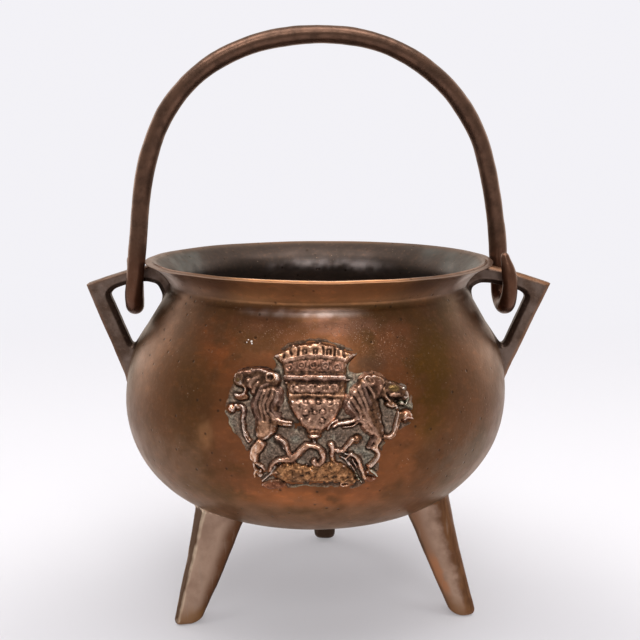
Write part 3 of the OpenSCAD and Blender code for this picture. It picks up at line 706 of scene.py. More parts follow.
class Relief:
    """A height field over the front of the belly, built up from drawn shapes; heights are in mm."""

    def __init__(self, x, z, step, lift=1.6):
        xs, zs = np.arange(x[0], x[1], step), np.arange(z[0], z[1], step)
        gx, gz = np.meshgrid(xs, zs, indexing="ij")
        self.shape = gx.shape
        self.x, self.z = gx.ravel(), gz.ravel()
        r = belly_radius(self.z)
        self.base = np.stack([self.x, -np.sqrt(r * r - self.x ** 2), self.z], 1)
        slope = (belly_radius(self.z + 0.05) - belly_radius(self.z - 0.05)) / 0.1
        n = np.stack([self.base[:, 0] / r, self.base[:, 1] / r, -slope], 1)
        self.normal = n / np.linalg.norm(n, axis=1)[:, None]
        self.a, self.b = drawing(cast(self.base + lift * self.normal))
        # the modeller's hand was not quite steady
        flat = np.stack([self.x, self.z, self.x * 0], 1)
        self.a = self.a + 4.0 * noise(flat, 2.6, 71) + 2.0 * noise(flat, 1.2, 72)
        self.b = self.b + 4.0 * noise(flat, 2.6, 73) + 2.0 * noise(flat, 1.2, 74)
        self.h = np.full(self.x.shape, -SINK)
        self.tint = np.zeros((len(self.x), 3))
        self.dist = np.full(self.x.shape, 60.0)

    def near(self, pts, w):
        p = np.asarray(pts, float)
        lo, hi = p.min(0) - w, p.max(0) + w
        return np.nonzero((self.a > lo[0]) & (self.a < hi[0]) & (self.b > lo[1]) & (self.b < hi[1]))[0]

    def lay(self, i, d, w, h, tint, base, power=0.5):
        """Raises the points i where d, the distance from a shape's middle, is under its half width w."""
        u = 1 - np.clip(d / w, 0, 1) ** 2
        new = np.where(d < w, base + (h - base) * u ** power, base - 0.06 * (d - w))
        up = new > self.h[i]
        self.h[i[up]] = new[up]
        self.tint[i[up]] = TINTS[tint]
        self.dist[i] = np.minimum(self.dist[i], d - w)

    def along(self, i, pts, smooth_line=True):
        line = catmull(pts, 6) if smooth_line and len(pts) > 2 else np.asarray(pts, float)
        a, b = self.a[i], self.b[i]
        best, where = np.full(len(i), 1e9), np.zeros(len(i))
        total = np.concatenate([[0], np.cumsum(np.hypot(*np.diff(line, axis=0).T))])
        for k in range(len(line) - 1):
            p, e = line[k], line[k + 1] - line[k]
            t = np.clip(((a - p[0]) * e[0] + (b - p[1]) * e[1]) / (e @ e + 1e-9), 0, 1)
            d = np.hypot(a - p[0] - t * e[0], b - p[1] - t * e[1])
            up = d < best
            best[up] = d[up]
            where[up] = (total[k] + t[up] * (total[k + 1] - total[k])) / total[-1]
        return best, where

    def stroke(self, tint, h, w, pts, w1=None, h1=None, base=-0.3, power=0.55):
        i = self.near(pts, w + 45)
        d, t = self.along(i, pts)
        ww = 1.3 * (w + ((w if w1 is None else w1) - w) * t)
        ww = ww * (1 + 0.10 * np.sin(t * 19 + pts[0][0]) + 0.07 * np.sin(t * 43 + pts[0][1]))
        hh = h + ((h if h1 is None else h1) - h) * t
        self.lay(i, d, ww, hh, tint, base, power)

    def blob(self, tint, h, a, b, ra, rb, rot=0, base=-0.3, power=0.7):
        i = self.near([(a, b)], max(ra, rb) + 45)
        c, s = math.cos(math.radians(rot)), math.sin(math.radians(rot))
        u = (self.a[i] - a) * c + (self.b[i] - b) * s
        v = -(self.a[i] - a) * s + (self.b[i] - b) * c
        k = np.hypot(u / ra, v / rb)
        mean = (ra * rb) ** 0.5
        self.lay(i, k * mean, mean, h, tint, base, power)

    def plate(self, tint, h, soft, pts, base=-0.3, curved=True):
        line = closed(pts, 5) if curved else pts
        i = self.near(line, 45)
        d = polygon_distance(self.a[i], self.b[i], line)
        self.lay(i, np.maximum(d + soft, 0), soft, h, tint, base)

    def ring(self, tint, h, a, b, ra, rb, w, rot=0, base=-0.3):
        c, s = math.cos(math.radians(rot)), math.sin(math.radians(rot))
        t = np.linspace(0, 2 * math.pi, 25)
        pts = [(a + ra * math.cos(q) * c - rb * math.sin(q) * s, b + ra * math.cos(q) * s + rb * math.sin(q) * c)
               for q in t]
        i = self.near(pts, w + 45)
        d, _ = self.along(i, pts, False)
        self.lay(i, d, w, h, tint, base)

    def line(self, amount, w, pts, tint=None, taper=False):
        """Adds a soft ridge along a line, or cuts one in where amount is negative."""
        i = self.near(pts, 3 * w)
        d, t = self.along(i, pts)
        k = np.exp(-(d / w) ** 2) * (np.minimum(1, 4 * (1 - t)) if taper else 1)
        self.h[i] += amount * k
        if tint:
            self.tint[i] += (np.array(TINTS[tint]) - self.tint[i]) * k[:, None]

    def spot(self, amount, a, b, ra, rb=None, rot=0, tint=None):
        """Adds a soft bump, or a hollow where amount is negative."""
        rb = rb or ra
        i = self.near([(a, b)], 3 * max(ra, rb))
        c, s = math.cos(math.radians(rot)), math.sin(math.radians(rot))
        u = ((self.a[i] - a) * c + (self.b[i] - b) * s) / ra
        v = (-(self.a[i] - a) * s + (self.b[i] - b) * c) / rb
        k = np.exp(-(u * u + v * v))
        self.h[i] += amount * k
        if tint:
            self.tint[i] += (np.array(TINTS[tint]) - self.tint[i]) * k[:, None]

    def boss(self, a, b, r, h=0.5, ring=0.4):
        """A small round boss in a cut ring."""
        i = self.near([(a, b)], 2.2 * r)
        d = np.hypot(self.a[i] - a, self.b[i] - b) / r
        self.h[i] += h * np.sqrt(np.clip(1 - d * d, 0, 1)) - ring * np.exp(-((d - 1.12) / 0.22) ** 2)

    def mesh(self, name, nodes, slot, floor=-1.0, soften=1, spread=1, broad=0.0):
        h = blur(self.h.reshape(self.shape), soften)
        keep = h > floor
        cell = keep[:-1, :-1] & keep[1:, :-1] & keep[:-1, 1:] & keep[1:, 1:]
        # cells that would touch at one corner only are joined by a third
        for _ in range(4):
            c = cell
            odd1 = c[:-1, :-1] & c[1:, 1:] & ~c[1:, :-1] & ~c[:-1, 1:]
            odd2 = ~c[:-1, :-1] & ~c[1:, 1:] & c[1:, :-1] & c[:-1, 1:]
            if not (odd1.any() or odd2.any()):
                break
            cell[1:, :-1] |= odd1
            cell[:-1, :-1] |= odd2
        used = np.zeros(self.shape, bool)
        for i in (0, 1):
            for j in (0, 1):
                used[i:self.shape[0] - 1 + i, j:self.shape[1] - 1 + j] |= cell
        flat_h = h.ravel()
        top_index = np.full(used.size, -1)
        pick = np.nonzero(used.ravel())[0]
        top_index[pick] = np.arange(len(pick))
        top = self.base[pick] + self.normal[pick] * np.maximum(flat_h[pick], floor - 0.3)[:, None]
        low = self.base[pick] - self.normal[pick] * 1.9
        n = len(pick)
        idx = top_index.reshape(self.shape)
        q = np.stack([idx[:-1, :-1], idx[1:, :-1], idx[1:, 1:], idx[:-1, 1:]], -1)[cell]
        faces = [q, q[:, ::-1] + n]
        edge = {0: (cell, np.pad(cell, ((0, 0), (1, 0)))[:, :-1], (0, 1)), 1: (cell, np.pad(cell, ((0, 0), (0, 1)))[:, 1:], (2, 3)),
                2: (cell, np.pad(cell, ((1, 0), (0, 0)))[:-1], (3, 0)), 3: (cell, np.pad(cell, ((0, 1), (0, 0)))[1:], (1, 2))}
        quad = np.stack([idx[:-1, :-1], idx[1:, :-1], idx[1:, 1:], idx[:-1, 1:]], -1)
        for own, other, (i0, i1) in edge.values():
            e = quad[own & ~other]
            p0, p1 = e[:, i0], e[:, i1]
            faces.append(np.stack([p1, p0, p0 + n, p1 + n], 1))
        faces = np.vstack(faces)
        verts = cast(np.vstack([top, low]))
        # the relief number drives the materials' painted light and shade; with broad, wide forms also get painted light
        # in their middles and painted shade at their sides
        near, wide = blur(h, 18), blur(h, 18 * spread)
        cavity = np.clip(0.75 * (h - near) / 0.75 + broad * (h - wide - 0.35), -1, 1).ravel()[pick]
        tint = np.stack([blur(self.tint[:, k].reshape(self.shape), 2).ravel()[pick] for k in range(3)], 1)
        ob = add_mesh(name, verts, faces, "pot", nodes)
        store(ob, "tint", np.vstack([tint, tint]))
        store(ob, "relief", np.concatenate([cavity, cavity]))
        return ob


def closed(points, per):
    p = np.asarray(points, float)
    q = np.vstack([p[-1:], p, p[:2]])
    out = []
    for i in range(1, len(q) - 2):
        a, b, c, d = q[i - 1:i + 3]
        for t in np.linspace(0, 1, per, endpoint=False):
            out.append(0.5 * (2 * b + (c - a) * t + (2 * a - 5 * b + 4 * c - d) * t * t
                              + (3 * b - a - 3 * c + d) * t ** 3))
    return np.array(out)


# colours of the ornament's parts, as rubbed metal
TINTS = {
    "pink": (0.270, 0.152, 0.104), "rose": (0.165, 0.080, 0.052), "tan": (0.270, 0.142, 0.084),
    "umber": (0.075, 0.036, 0.020),
    "gold": (0.265, 0.125, 0.054), "brown": (0.135, 0.064, 0.034), "olive": (0.095, 0.054, 0.018),
    "dark": (0.035, 0.018, 0.012), "orange": (0.200, 0.062, 0.022), "grey": (0.22, 0.18, 0.15),
    "mauve": (0.160, 0.090, 0.066), "green": (0.170, 0.165, 0.115), "red": (0.140, 0.052, 0.026)}


def draw_urn(r):
    r.plate("brown", 1.3, 16, [(468, 228), (505, 203), (550, 182), (600, 155), (660, 143), (715, 134), (780, 138),
                               (850, 150), (900, 168), (960, 196), (1034, 214), (1000, 246), (972, 275), (955, 330),
                               (955, 500), (935, 560), (890, 650), (840, 700), (795, 735), (700, 735), (650, 680),
                               (600, 600), (572, 520), (560, 400), (545, 330), (530, 285), (500, 255)], curved=False)
    # coronet
    r.plate("tan", 2.2, 9, [(494, 226), (548, 204), (596, 176), (650, 160), (714, 150), (780, 152), (850, 166),
                            (905, 182), (958, 206), (1004, 228), (966, 262), (900, 250), (820, 240), (740, 236),
                            (650, 246), (560, 270), (520, 256)], curved=False)
    r.stroke("pink", 2.5, 11, [(548, 268), (640, 243), (750, 232), (860, 240), (950, 262)])
    r.blob("tan", 2.9, 714, 184, 50, 44, power=0.8)
    r.blob("tan", 2.8, 611, 170, 19, 20)
    r.blob("tan", 2.75, 782, 156, 15, 15)
    r.blob("tan", 2.75, 845, 186, 27, 34, power=0.8)
    r.blob("tan", 2.7, 906, 200, 17, 28, 18)
    r.blob("gold", 2.6, 962, 226, 18, 20, 20)
    r.blob("tan", 2.6, 572, 226, 18, 24, -20)
    r.blob("gold", 2.5, 530, 238, 16, 14)
    for pts in ([(676, 222), (676, 196), (692, 196), (692, 222)], [(746, 222), (748, 192), (768, 194), (760, 222)],
                [(828, 222), (829, 196), (851, 196), (851, 222)], [(922, 186), (902, 204), (904, 228)],
                [(586, 180), (588, 206), (598, 230)], [(636, 172), (646, 196), (640, 234)],
                [(800, 172), (806, 196), (806, 230)], [(876, 180), (880, 204), (876, 232)],
                [(940, 204), (938, 226), (944, 244)], [(548, 214), (552, 232), (546, 250)]):
        r.line(-0.9, 4.8, pts, "dark")
    # band of roundels
    r.plate("rose", 1.5, 7, [(548, 285), (640, 262), (750, 254), (860, 258), (948, 276), (952, 342), (552, 342)], curved=False)
    r.stroke("pink", 2.0, 6, [(552, 276), (640, 256), (750, 247), (860, 251), (948, 270)])
    for a, b, q in ((585, 312, 25), (660, 300, 24), (742, 296, 26), (820, 300, 25), (897, 309, 25)):
        r.ring("mauve" if a > 780 else "rose", 2.1, a, b, q * 0.86, q * 0.86, 6)
        r.blob("pink", 2.15, a - 2, b + 1, 10, 10)
    for a, b in ((622, 325), (702, 318), (780, 318), (858, 326), (934, 330)):
        r.blob("mauve", 1.9, a, b, 7, 8)
    # plain moulding
    r.stroke("mauve", 2.95, 21, [(566, 376), (936, 378)])
    r.stroke("brown", 2.0, 10, [(920, 388), (960, 390), (986, 386)], w1=4)
    # painted highlight: the moulding's middle is tinted pinker, and raised a little
    r.spot(0.5, 730, 372, 110, 14, tint="pink")
    # ornamented band
    r.plate("pink", 2.1, 9, [(592, 418), (905, 413), (914, 446), (902, 476), (602, 478), (580, 452)], curved=False)
    for a, b, q in ((634, 447, 22), (706, 447, 19), (772, 449, 24), (848, 446, 20)):
        r.boss(a, b, q, 0.45, 0.45)
    for a, b in ((600, 432), (670, 432), (668, 464), (738, 432), (740, 465), (810, 430), (812, 464), (882, 432), (884, 462)):
        r.boss(a, b, 7, 0.4, 0.3)
    r.blob("pink", 1.9, 928, 430, 9, 9)
    r.blob("tan", 1.7, 562, 412, 12, 9)
    r.stroke("tan", 1.9, 7, [(585, 493), (700, 489), (830, 494), (938, 500)])
    # urn
    r.plate("pink", 2.3, 40, [(580, 512), (760, 508), (928, 512), (934, 545), (900, 625), (852, 690), (800, 722),
                              (745, 730), (695, 720), (650, 675), (606, 600), (584, 550)], curved=False)
    for a, b, q in ((606, 531, 16), (695, 531, 16), (773, 531, 17), (848, 534, 17), (905, 548, 13), (689, 604, 20),
                    (748, 604, 14), (803, 600, 19), (860, 600, 14), (714, 655, 13), (800, 655, 16), (660, 650, 12)):
        r.boss(a, b, q, 0.5, 0.55)
    r.spot(-0.25, 652, 565, 16, 12)
    r.blob("tan", 2.6, 746, 690, 24, 20)
    r.stroke("brown", 1.6, 26, [(716, 722), (776, 722)])
    r.stroke("tan", 2.2, 8, [(722, 728), (770, 728)])
    r.blob("tan", 2.7, 745, 760, 44, 19)
    r.line(0.25, 5, [(712, 758), (745, 746), (778, 758)])
    r.stroke("dark", 1.1, 14, [(745, 782), (748, 806)])


def draw_lion_left(r):
    # body, from the neck down
    r.plate("brown", 2.6, 20, [(400, 430), (470, 420), (505, 450), (512, 540), (505, 640), (502, 720), (470, 760),
                               (425, 786), (368, 770), (362, 720), (372, 660), (362, 600), (372, 540), (392, 480)])
    r.plate("tan", 3.0, 34, [(372, 650), (420, 640), (468, 650), (474, 700), (462, 742), (412, 776), (368, 764), (374, 700)])
    r.line(0.35, 6, [(470, 690), (464, 738), (412, 776)], "pink")
    # mane: long wavy locks
    locks = [[(396, 468), (374, 520), (366, 570), (378, 612), (398, 656)],
             [(424, 468), (404, 518), (396, 560), (412, 600), (408, 640), (396, 672)],
             [(452, 462), (432, 510), (416, 552), (424, 590), (442, 622), (446, 660)],
             [(482, 462), (468, 506), (444, 548), (446, 588), (470, 614), (488, 644)],
             [(506, 474), (500, 522), (476, 562), (478, 590), (500, 620)]]
    for k, lock in enumerate(locks):
        r.stroke("mauve" if k in (0, 4) else "pink", 3.1, 14, lock, w1=9, h1=2.8, base=2.2)
    for lock, other in zip(locks, locks[1:]):
        r.line(-0.3, 3.4, [((p[0] + q[0]) / 2, (p[1] + q[1]) / 2) for p, q in zip(lock, other)], "dark")
    # head: one mass, then snout, brow, cheek, eye and ear
    r.plate("umber", 2.9, 30, [(216, 390), (221, 351), (250, 329), (297, 317), (335, 303), (389, 303), (454, 325),
                               (508, 342), (527, 372), (519, 421), (490, 446), (440, 462), (385, 476), (340, 462),
                               (304, 446), (262, 436), (230, 420)])
    r.blob("olive", 3.0, 256, 392, 36, 34, 10, base=1.0)
    r.stroke("rose", 3.2, 12, [(268, 352), (300, 344), (340, 348)], base=1.5)
    r.stroke("pink", 3.45, 13, [(352, 470), (364, 440), (384, 412)], w1=8, base=1.5)
    r.stroke("mauve", 3.3, 10, [(384, 474), (402, 446), (424, 428), (452, 424)], w1=7, base=1.5)
    r.stroke("mauve", 3.3, 11, [(352, 336), (392, 330), (432, 344)], base=1.5)
    r.spot(0.3, 372, 384, 22, 12, -20, "pink")
    r.line(0.25, 12, [(350, 396), (336, 420), (330, 446)], "pink")
    r.line(-0.6, 6, [(300, 380), (316, 372), (338, 380)], "dark")
    r.blob("pink", 3.4, 318, 400, 14, 13, base=1.8)
    r.ring("brown", 3.3, 460, 382, 24, 26, 8, 15, base=1.5)
    r.stroke("pink", 3.5, 6, [(440, 364), (436, 386), (446, 404)], base=1.8)
    r.spot(-1.0, 462, 378, 14, 15, tint="dark")
    r.blob("pink", 3.4, 497, 396, 9, 12, 20, base=1.5)
    r.line(-0.5, 5, [(286, 352), (292, 384), (284, 414)], "dark")
    # mouth and jaw
    r.stroke("tan", 2.7, 8, [(284, 424), (294, 442), (300, 460)])
    r.stroke("red", 2.1, 13, [(232, 486), (252, 496), (282, 486), (304, 458)], w1=9)
    r.stroke("brown", 1.6, 12, [(236, 506), (264, 512), (300, 500)])
    r.line(-1.3, 9, [(226, 446), (258, 452), (284, 450)], "dark")
    # forelegs
    r.stroke("pink", 2.5, 15, [(484, 636), (512, 650), (560, 664)], w1=8)
    r.stroke("tan", 2.0, 8, [(560, 664), (606, 672), (640, 690), (656, 712)], w1=8, h1=1.6)
    r.stroke("brown", 1.7, 15, [(492, 668), (540, 680), (590, 690)], w1=8)
    for a, b in ((634, 686), (646, 700), (656, 716), (628, 702)):
        r.blob("green", 1.9, a, b, 7, 6)
    # hind legs
    r.plate("tan", 3.0, 30, [(383, 772), (352, 800), (322, 846), (318, 898), (338, 926), (366, 938), (384, 922),
                              (388, 880), (412, 848), (430, 818), (424, 796), (408, 780)])
    r.line(0.35, 5, [(376, 786), (372, 830), (366, 876)], "pink")
    r.line(0.45, 4, [(404, 786), (424, 806), (420, 830), (396, 858)], "pink")
    r.line(-0.35, 7, [(402, 812), (406, 826), (398, 838)], "red")
    r.line(0.3, 4, [(326, 896), (344, 922), (366, 932)], "tan")
    for a, b, q in ((370, 858, 6), (378, 872, 5), (354, 905, 5), (346, 880, 4)):
        r.spot(-0.4, a, b, q, tint="dark")
    r.stroke("tan", 2.2, 9, [(366, 936), (386, 948), (408, 964), (420, 984)], w1=6, h1=1.7)
    r.stroke("brown", 1.6, 10, [(344, 940), (352, 966), (364, 986)])
    r.stroke("gold", 1.5, 10, [(362, 990), (350, 1010), (352, 1032)], w1=7)
    r.stroke("brown", 1.5, 12, [(392, 990), (376, 1004), (392, 1020)])
    # tail
    r.stroke("mauve", 2.0, 13, [(282, 574), (284, 612), (276, 650), (284, 684)], w1=9)
    r.stroke("brown", 1.9, 11, [(284, 684), (284, 716), (292, 748)])
    r.stroke("pink", 2.1, 5, [(284, 738), (298, 770), (316, 800)])
    r.stroke("tan", 2.1, 5, [(298, 734), (312, 764), (328, 792)])
    r.blob("orange", 2.3, 198, 576, 30, 34)
    r.blob("brown", 2.3, 250, 566, 30, 26, 25)
    r.stroke("rose", 2.6, 6, [(234, 556), (222, 578), (210, 596)])
    r.stroke("mauve", 2.4, 8, [(262, 552), (286, 568), (292, 594)])
    r.line(-0.4, 4, [(222, 556), (232, 580), (246, 604)], "dark")


def draw_lion_right(r):
    r.plate("brown", 2.7, 24, [(1060, 370), (1110, 430), (1140, 505), (1158, 580), (1180, 670), (1192, 740),
                                (1196, 782), (1160, 768), (1136, 757), (1074, 728), (1060, 690), (1062, 648),
                                (1030, 600), (1000, 560), (984, 520), (1004, 470), (1030, 410)])
    r.stroke("pink", 3.05, 20, [(1060, 560), (1086, 610), (1104, 660), (1134, 710), (1156, 748)], w1=16, base=1.0)
    r.stroke("pink", 2.8, 26, [(1076, 660), (1090, 700), (1122, 730)], w1=18, base=1.0)
    r.stroke("umber", 2.9, 22, [(1116, 480), (1144, 560), (1166, 650), (1184, 740)], w1=16, base=1.0)
    r.line(-0.35, 5, [(1112, 540), (1126, 600), (1146, 660), (1168, 730)], "brown")
    locks = [[(1064, 432), (1080, 470), (1088, 506), (1108, 548)], [(1036, 446), (1056, 490), (1074, 528), (1094, 580)],
             [(1012, 478), (1034, 518), (1056, 554), (1070, 606)], [(990, 516), (1012, 552), (1036, 590), (1048, 634)],
             [(974, 548), (990, 580), (1014, 612), (1030, 644)]]
    for k, lock in enumerate(locks):
        r.stroke("mauve" if k in (0, 4) else "pink", 3.15, 15, lock, w1=10, base=2.2)
    for lock, other in zip(locks, locks[1:]):
        r.line(-0.35, 3.6, [((p[0] + q[0]) / 2, (p[1] + q[1]) / 2) for p, q in zip(lock, other)], "dark")
    r.ring("mauve", 2.6, 996, 574, 13, 22, 6)
    r.blob("pink", 2.7, 990, 570, 7, 8)
    r.blob("pink", 2.6, 1004, 594, 7, 7)
    r.ring("tan", 2.9, 1046, 612, 12, 16, 5, base=1.0)
    for a, b in ((1086, 678), (1100, 694), (1080, 706), (1106, 716), (1092, 660), (1124, 716)):
        r.spot(0.3, a, b, 6)
    # head: one mass, then brow, eye, cheek, snout, lips and jaw
    r.plate("umber", 2.7, 26, [(1044, 396), (1068, 362), (1115, 350), (1180, 362), (1234, 386), (1300, 416),
                               (1353, 448), (1372, 496), (1340, 528), (1290, 520), (1240, 540), (1205, 520),
                               (1186, 506), (1150, 520), (1118, 496)])
    r.plate("rose", 3.1, 26, [(1060, 376), (1104, 356), (1160, 364), (1206, 390), (1212, 424), (1190, 470),
                               (1166, 506), (1140, 488), (1120, 440)])
    r.ring("pink", 3.5, 1102, 398, 34, 21, 6, 38, base=2.2)
    r.blob("tan", 3.45, 1103, 397, 17, 9, 35, base=2.2)
    r.stroke("pink", 3.5, 10, [(1066, 412), (1096, 438), (1120, 472), (1138, 506)], w1=7, base=1.8)
    r.stroke("tan", 3.4, 9, [(1130, 372), (1170, 384), (1196, 412)], base=2.0)
    r.line(-0.7, 6, [(1082, 440), (1100, 464), (1112, 488)], "dark")
    r.blob("pink", 3.55, 1172, 436, 16, 20, base=2.0)
    r.line(-0.6, 5, [(1206, 392), (1200, 424), (1208, 456)], "dark")
    r.blob("olive", 3.3, 1262, 448, 52, 34, 14, base=1.5)
    r.stroke("tan", 3.1, 8, [(1200, 440), (1204, 474), (1214, 506), (1240, 534)], w1=6)
    r.blob("brown", 2.9, 1324, 470, 34, 34, 20)
    r.blob("grey", 3.2, 1326, 446, 12, 11, base=1.5)
    r.stroke("pink", 3.2, 7, [(1236, 496), (1262, 484), (1300, 484)], base=1.5)
    r.line(-1.2, 7, [(1218, 482), (1238, 508), (1274, 512), (1316, 506)], "dark")
    r.blob("brown", 2.4, 1254, 548, 46, 26, 8)
    r.stroke("tan", 2.6, 6, [(1222, 552), (1252, 566), (1284, 560)])
    r.blob("green", 2.6, 1318, 540, 24, 20, 30)
    r.stroke("green", 2.3, 6, [(1362, 498), (1354, 524), (1342, 552)])
    r.blob("grey", 2.4, 1288, 572, 13, 12)
    for a, b in ((1306, 530), (1324, 552), (1334, 530)):
        r.spot(0.35, a, b, 7)
    # forelegs
    r.stroke("pink", 2.6, 13, [(1024, 640), (994, 660), (948, 670), (902, 680), (872, 698)], w1=10)
    r.stroke("pink", 2.4, 8, [(898, 656), (856, 678), (832, 712)], w1=7)
    r.stroke("tan", 1.9, 5, [(934, 701), (984, 697), (1020, 684), (1044, 660)])
    # hind leg
    r.stroke("mauve", 1.9, 16, [(1140, 770), (1118, 802), (1106, 832)], w1=12)
    r.plate("tan", 2.9, 20, [(1164, 746), (1192, 778), (1166, 824), (1184, 872), (1166, 922), (1120, 968), (1094, 956),
                             (1136, 908), (1150, 876), (1114, 842), (1136, 804)])
    r.line(0.5, 5, [(1164, 752), (1140, 800), (1118, 840)], "pink")
    r.line(0.5, 4, [(1148, 890), (1128, 926), (1098, 952)], "pink")
    r.stroke("brown", 1.6, 10, [(1096, 958), (1104, 980), (1096, 996)])
    r.stroke("green", 2.5, 9, [(1118, 984), (1138, 1000), (1156, 1020)])
    r.line(-0.8, 7, [(1112, 1002), (1130, 1022), (1152, 1036)], "dark")
    # tail
    r.stroke("brown", 1.9, 14, [(1202, 766), (1246, 768), (1276, 738), (1292, 688), (1306, 640), (1318, 610)])
    r.stroke("pink", 2.4, 6, [(1204, 762), (1240, 762), (1264, 736), (1278, 688), (1288, 638), (1300, 596)])
    r.blob("red", 2.6, 1350, 624, 44, 50, 12)
    r.stroke("orange", 2.8, 8, [(1330, 650), (1356, 634), (1384, 646)])
    r.stroke("tan", 2.7, 6, [(1322, 640), (1346, 612), (1378, 622)])
    r.line(-0.5, 5, [(1318, 668), (1352, 656), (1388, 668)], "dark")


def draw_scrolls(r):
    r.plate("gold", 1.75, 34, [(476, 996), (516, 952), (600, 936), (700, 958), (800, 944), (880, 930), (960, 958),
                              (1010, 1006), (1030, 1058), (1000, 1084), (880, 1072), (760, 1068), (640, 1078),
                              (560, 1066), (500, 1040)])
    for pts in ([(610, 1030), (636, 976), (690, 960), (740, 990)], [(700, 1040), (760, 980), (830, 968), (880, 1000)],
                [(840, 1050), (890, 990), (950, 984), (990, 1030)], [(520, 1020), (560, 970), (610, 960)]):
        r.line(0.35, 8, pts)
    flat = np.stack([r.x, r.z, r.x * 0], 1)
    g = 0.30 * noise(flat, 1.3, 41) + 0.36 * noise(flat, 0.7, 42)
    r.h = np.where(r.h > 0.3, r.h + g, r.h)
    worn = ramp(noise(flat, 3.2, 43) + 0.8 * noise(flat, 1.2, 44), -0.2, 0.6) * (r.h > 0)
    r.tint = toward(r.tint, (0.080, 0.040, 0.022), worn * 0.65)
    r.h -= 0.35 * worn
    r.plate("red", 1.75, 30, [(392, 1086), (436, 1058), (482, 1046), (532, 1060), (566, 1086), (540, 1106), (482, 1116),
                              (430, 1112)])
    r.line(0.35, 4, [(400, 1078), (440, 1058), (482, 1050), (530, 1062), (560, 1082)], "tan")
    r.stroke("grey", 1.9, 6, [(404, 1054), (440, 1024), (470, 990), (490, 962)])
    r.stroke("tan", 1.9, 7, [(470, 1004), (486, 998), (504, 1006)])
    # the long scroll and its stems
    r.stroke("pink", 2.3, 10, [(455, 984), (477, 942), (513, 918), (566, 913)], w1=18)
    r.stroke("pink", 2.4, 19, [(560, 914), (606, 910), (646, 869), (678, 835), (722, 820), (770, 838), (802, 872),
                                (808, 908), (790, 938), (762, 942), (744, 928)], w1=16)
    r.line(0.3, 5, [(560, 906), (604, 900), (642, 860), (676, 826), (722, 812), (772, 830), (806, 866)], "tan")
    r.stroke("pink", 2.3, 13, [(497, 764), (544, 793), (566, 829), (575, 869), (593, 890), (624, 880)], w1=12)
    r.stroke("dark", 1.2, 15, [(500, 786), (530, 812), (552, 850)], w1=8)
    r.stroke("pink", 2.4, 20, [(858, 818), (866, 850), (862, 884)], w1=14)
    r.stroke("gold", 1.8, 13, [(862, 884), (868, 912)])
    r.stroke("pink", 2.2, 12, [(892, 850), (934, 854), (966, 822), (994, 782)], w1=14)
    r.blob("brown", 2.5, 1024, 777, 30, 30)
    r.blob("rose", 2.3, 900, 860, 14, 12)
    r.stroke("tan", 2.3, 11, [(982, 878), (1020, 896), (1046, 940), (1064, 996), (1078, 1034)], w1=12)
    r.line(0.4, 4, [(984, 876), (1012, 896), (1038, 944), (1056, 1000)], "pink")
    r.stroke("pink", 2.3, 6, [(950, 906), (984, 882), (998, 872)])
    r.stroke("grey", 2.1, 5, [(930, 862), (960, 878), (990, 870)])
    r.stroke("grey", 2.0, 6, [(922, 892), (950, 912), (976, 950)])
    r.stroke("mauve", 1.9, 6, [(1000, 916), (1014, 940), (1030, 964)])
    r.stroke("rose", 1.8, 6, [(976, 930), (996, 956), (1012, 984)])
    for a, b, q in ((1016, 996, 10), (1028, 1020, 12), (1042, 1046, 14), (1056, 1062, 10), (1008, 972, 8), (986, 968, 7)):
        r.blob("green", 1.8, a, b, q, q * 0.8, 30)
    r.plate("red", 1.5, 16, [(1070, 1020), (1110, 1026), (1158, 1044), (1120, 1066), (1078, 1060)])
    r.ring("tan", 1.5, 950, 1082, 30, 12, 5, -4)
    for a, b in ((500, 944), (520, 960), (880, 930), (900, 944), (620, 936), (940, 960), (700, 950), (460, 1010)):
        r.blob("rose", 1.9, a, b, 9, 7)


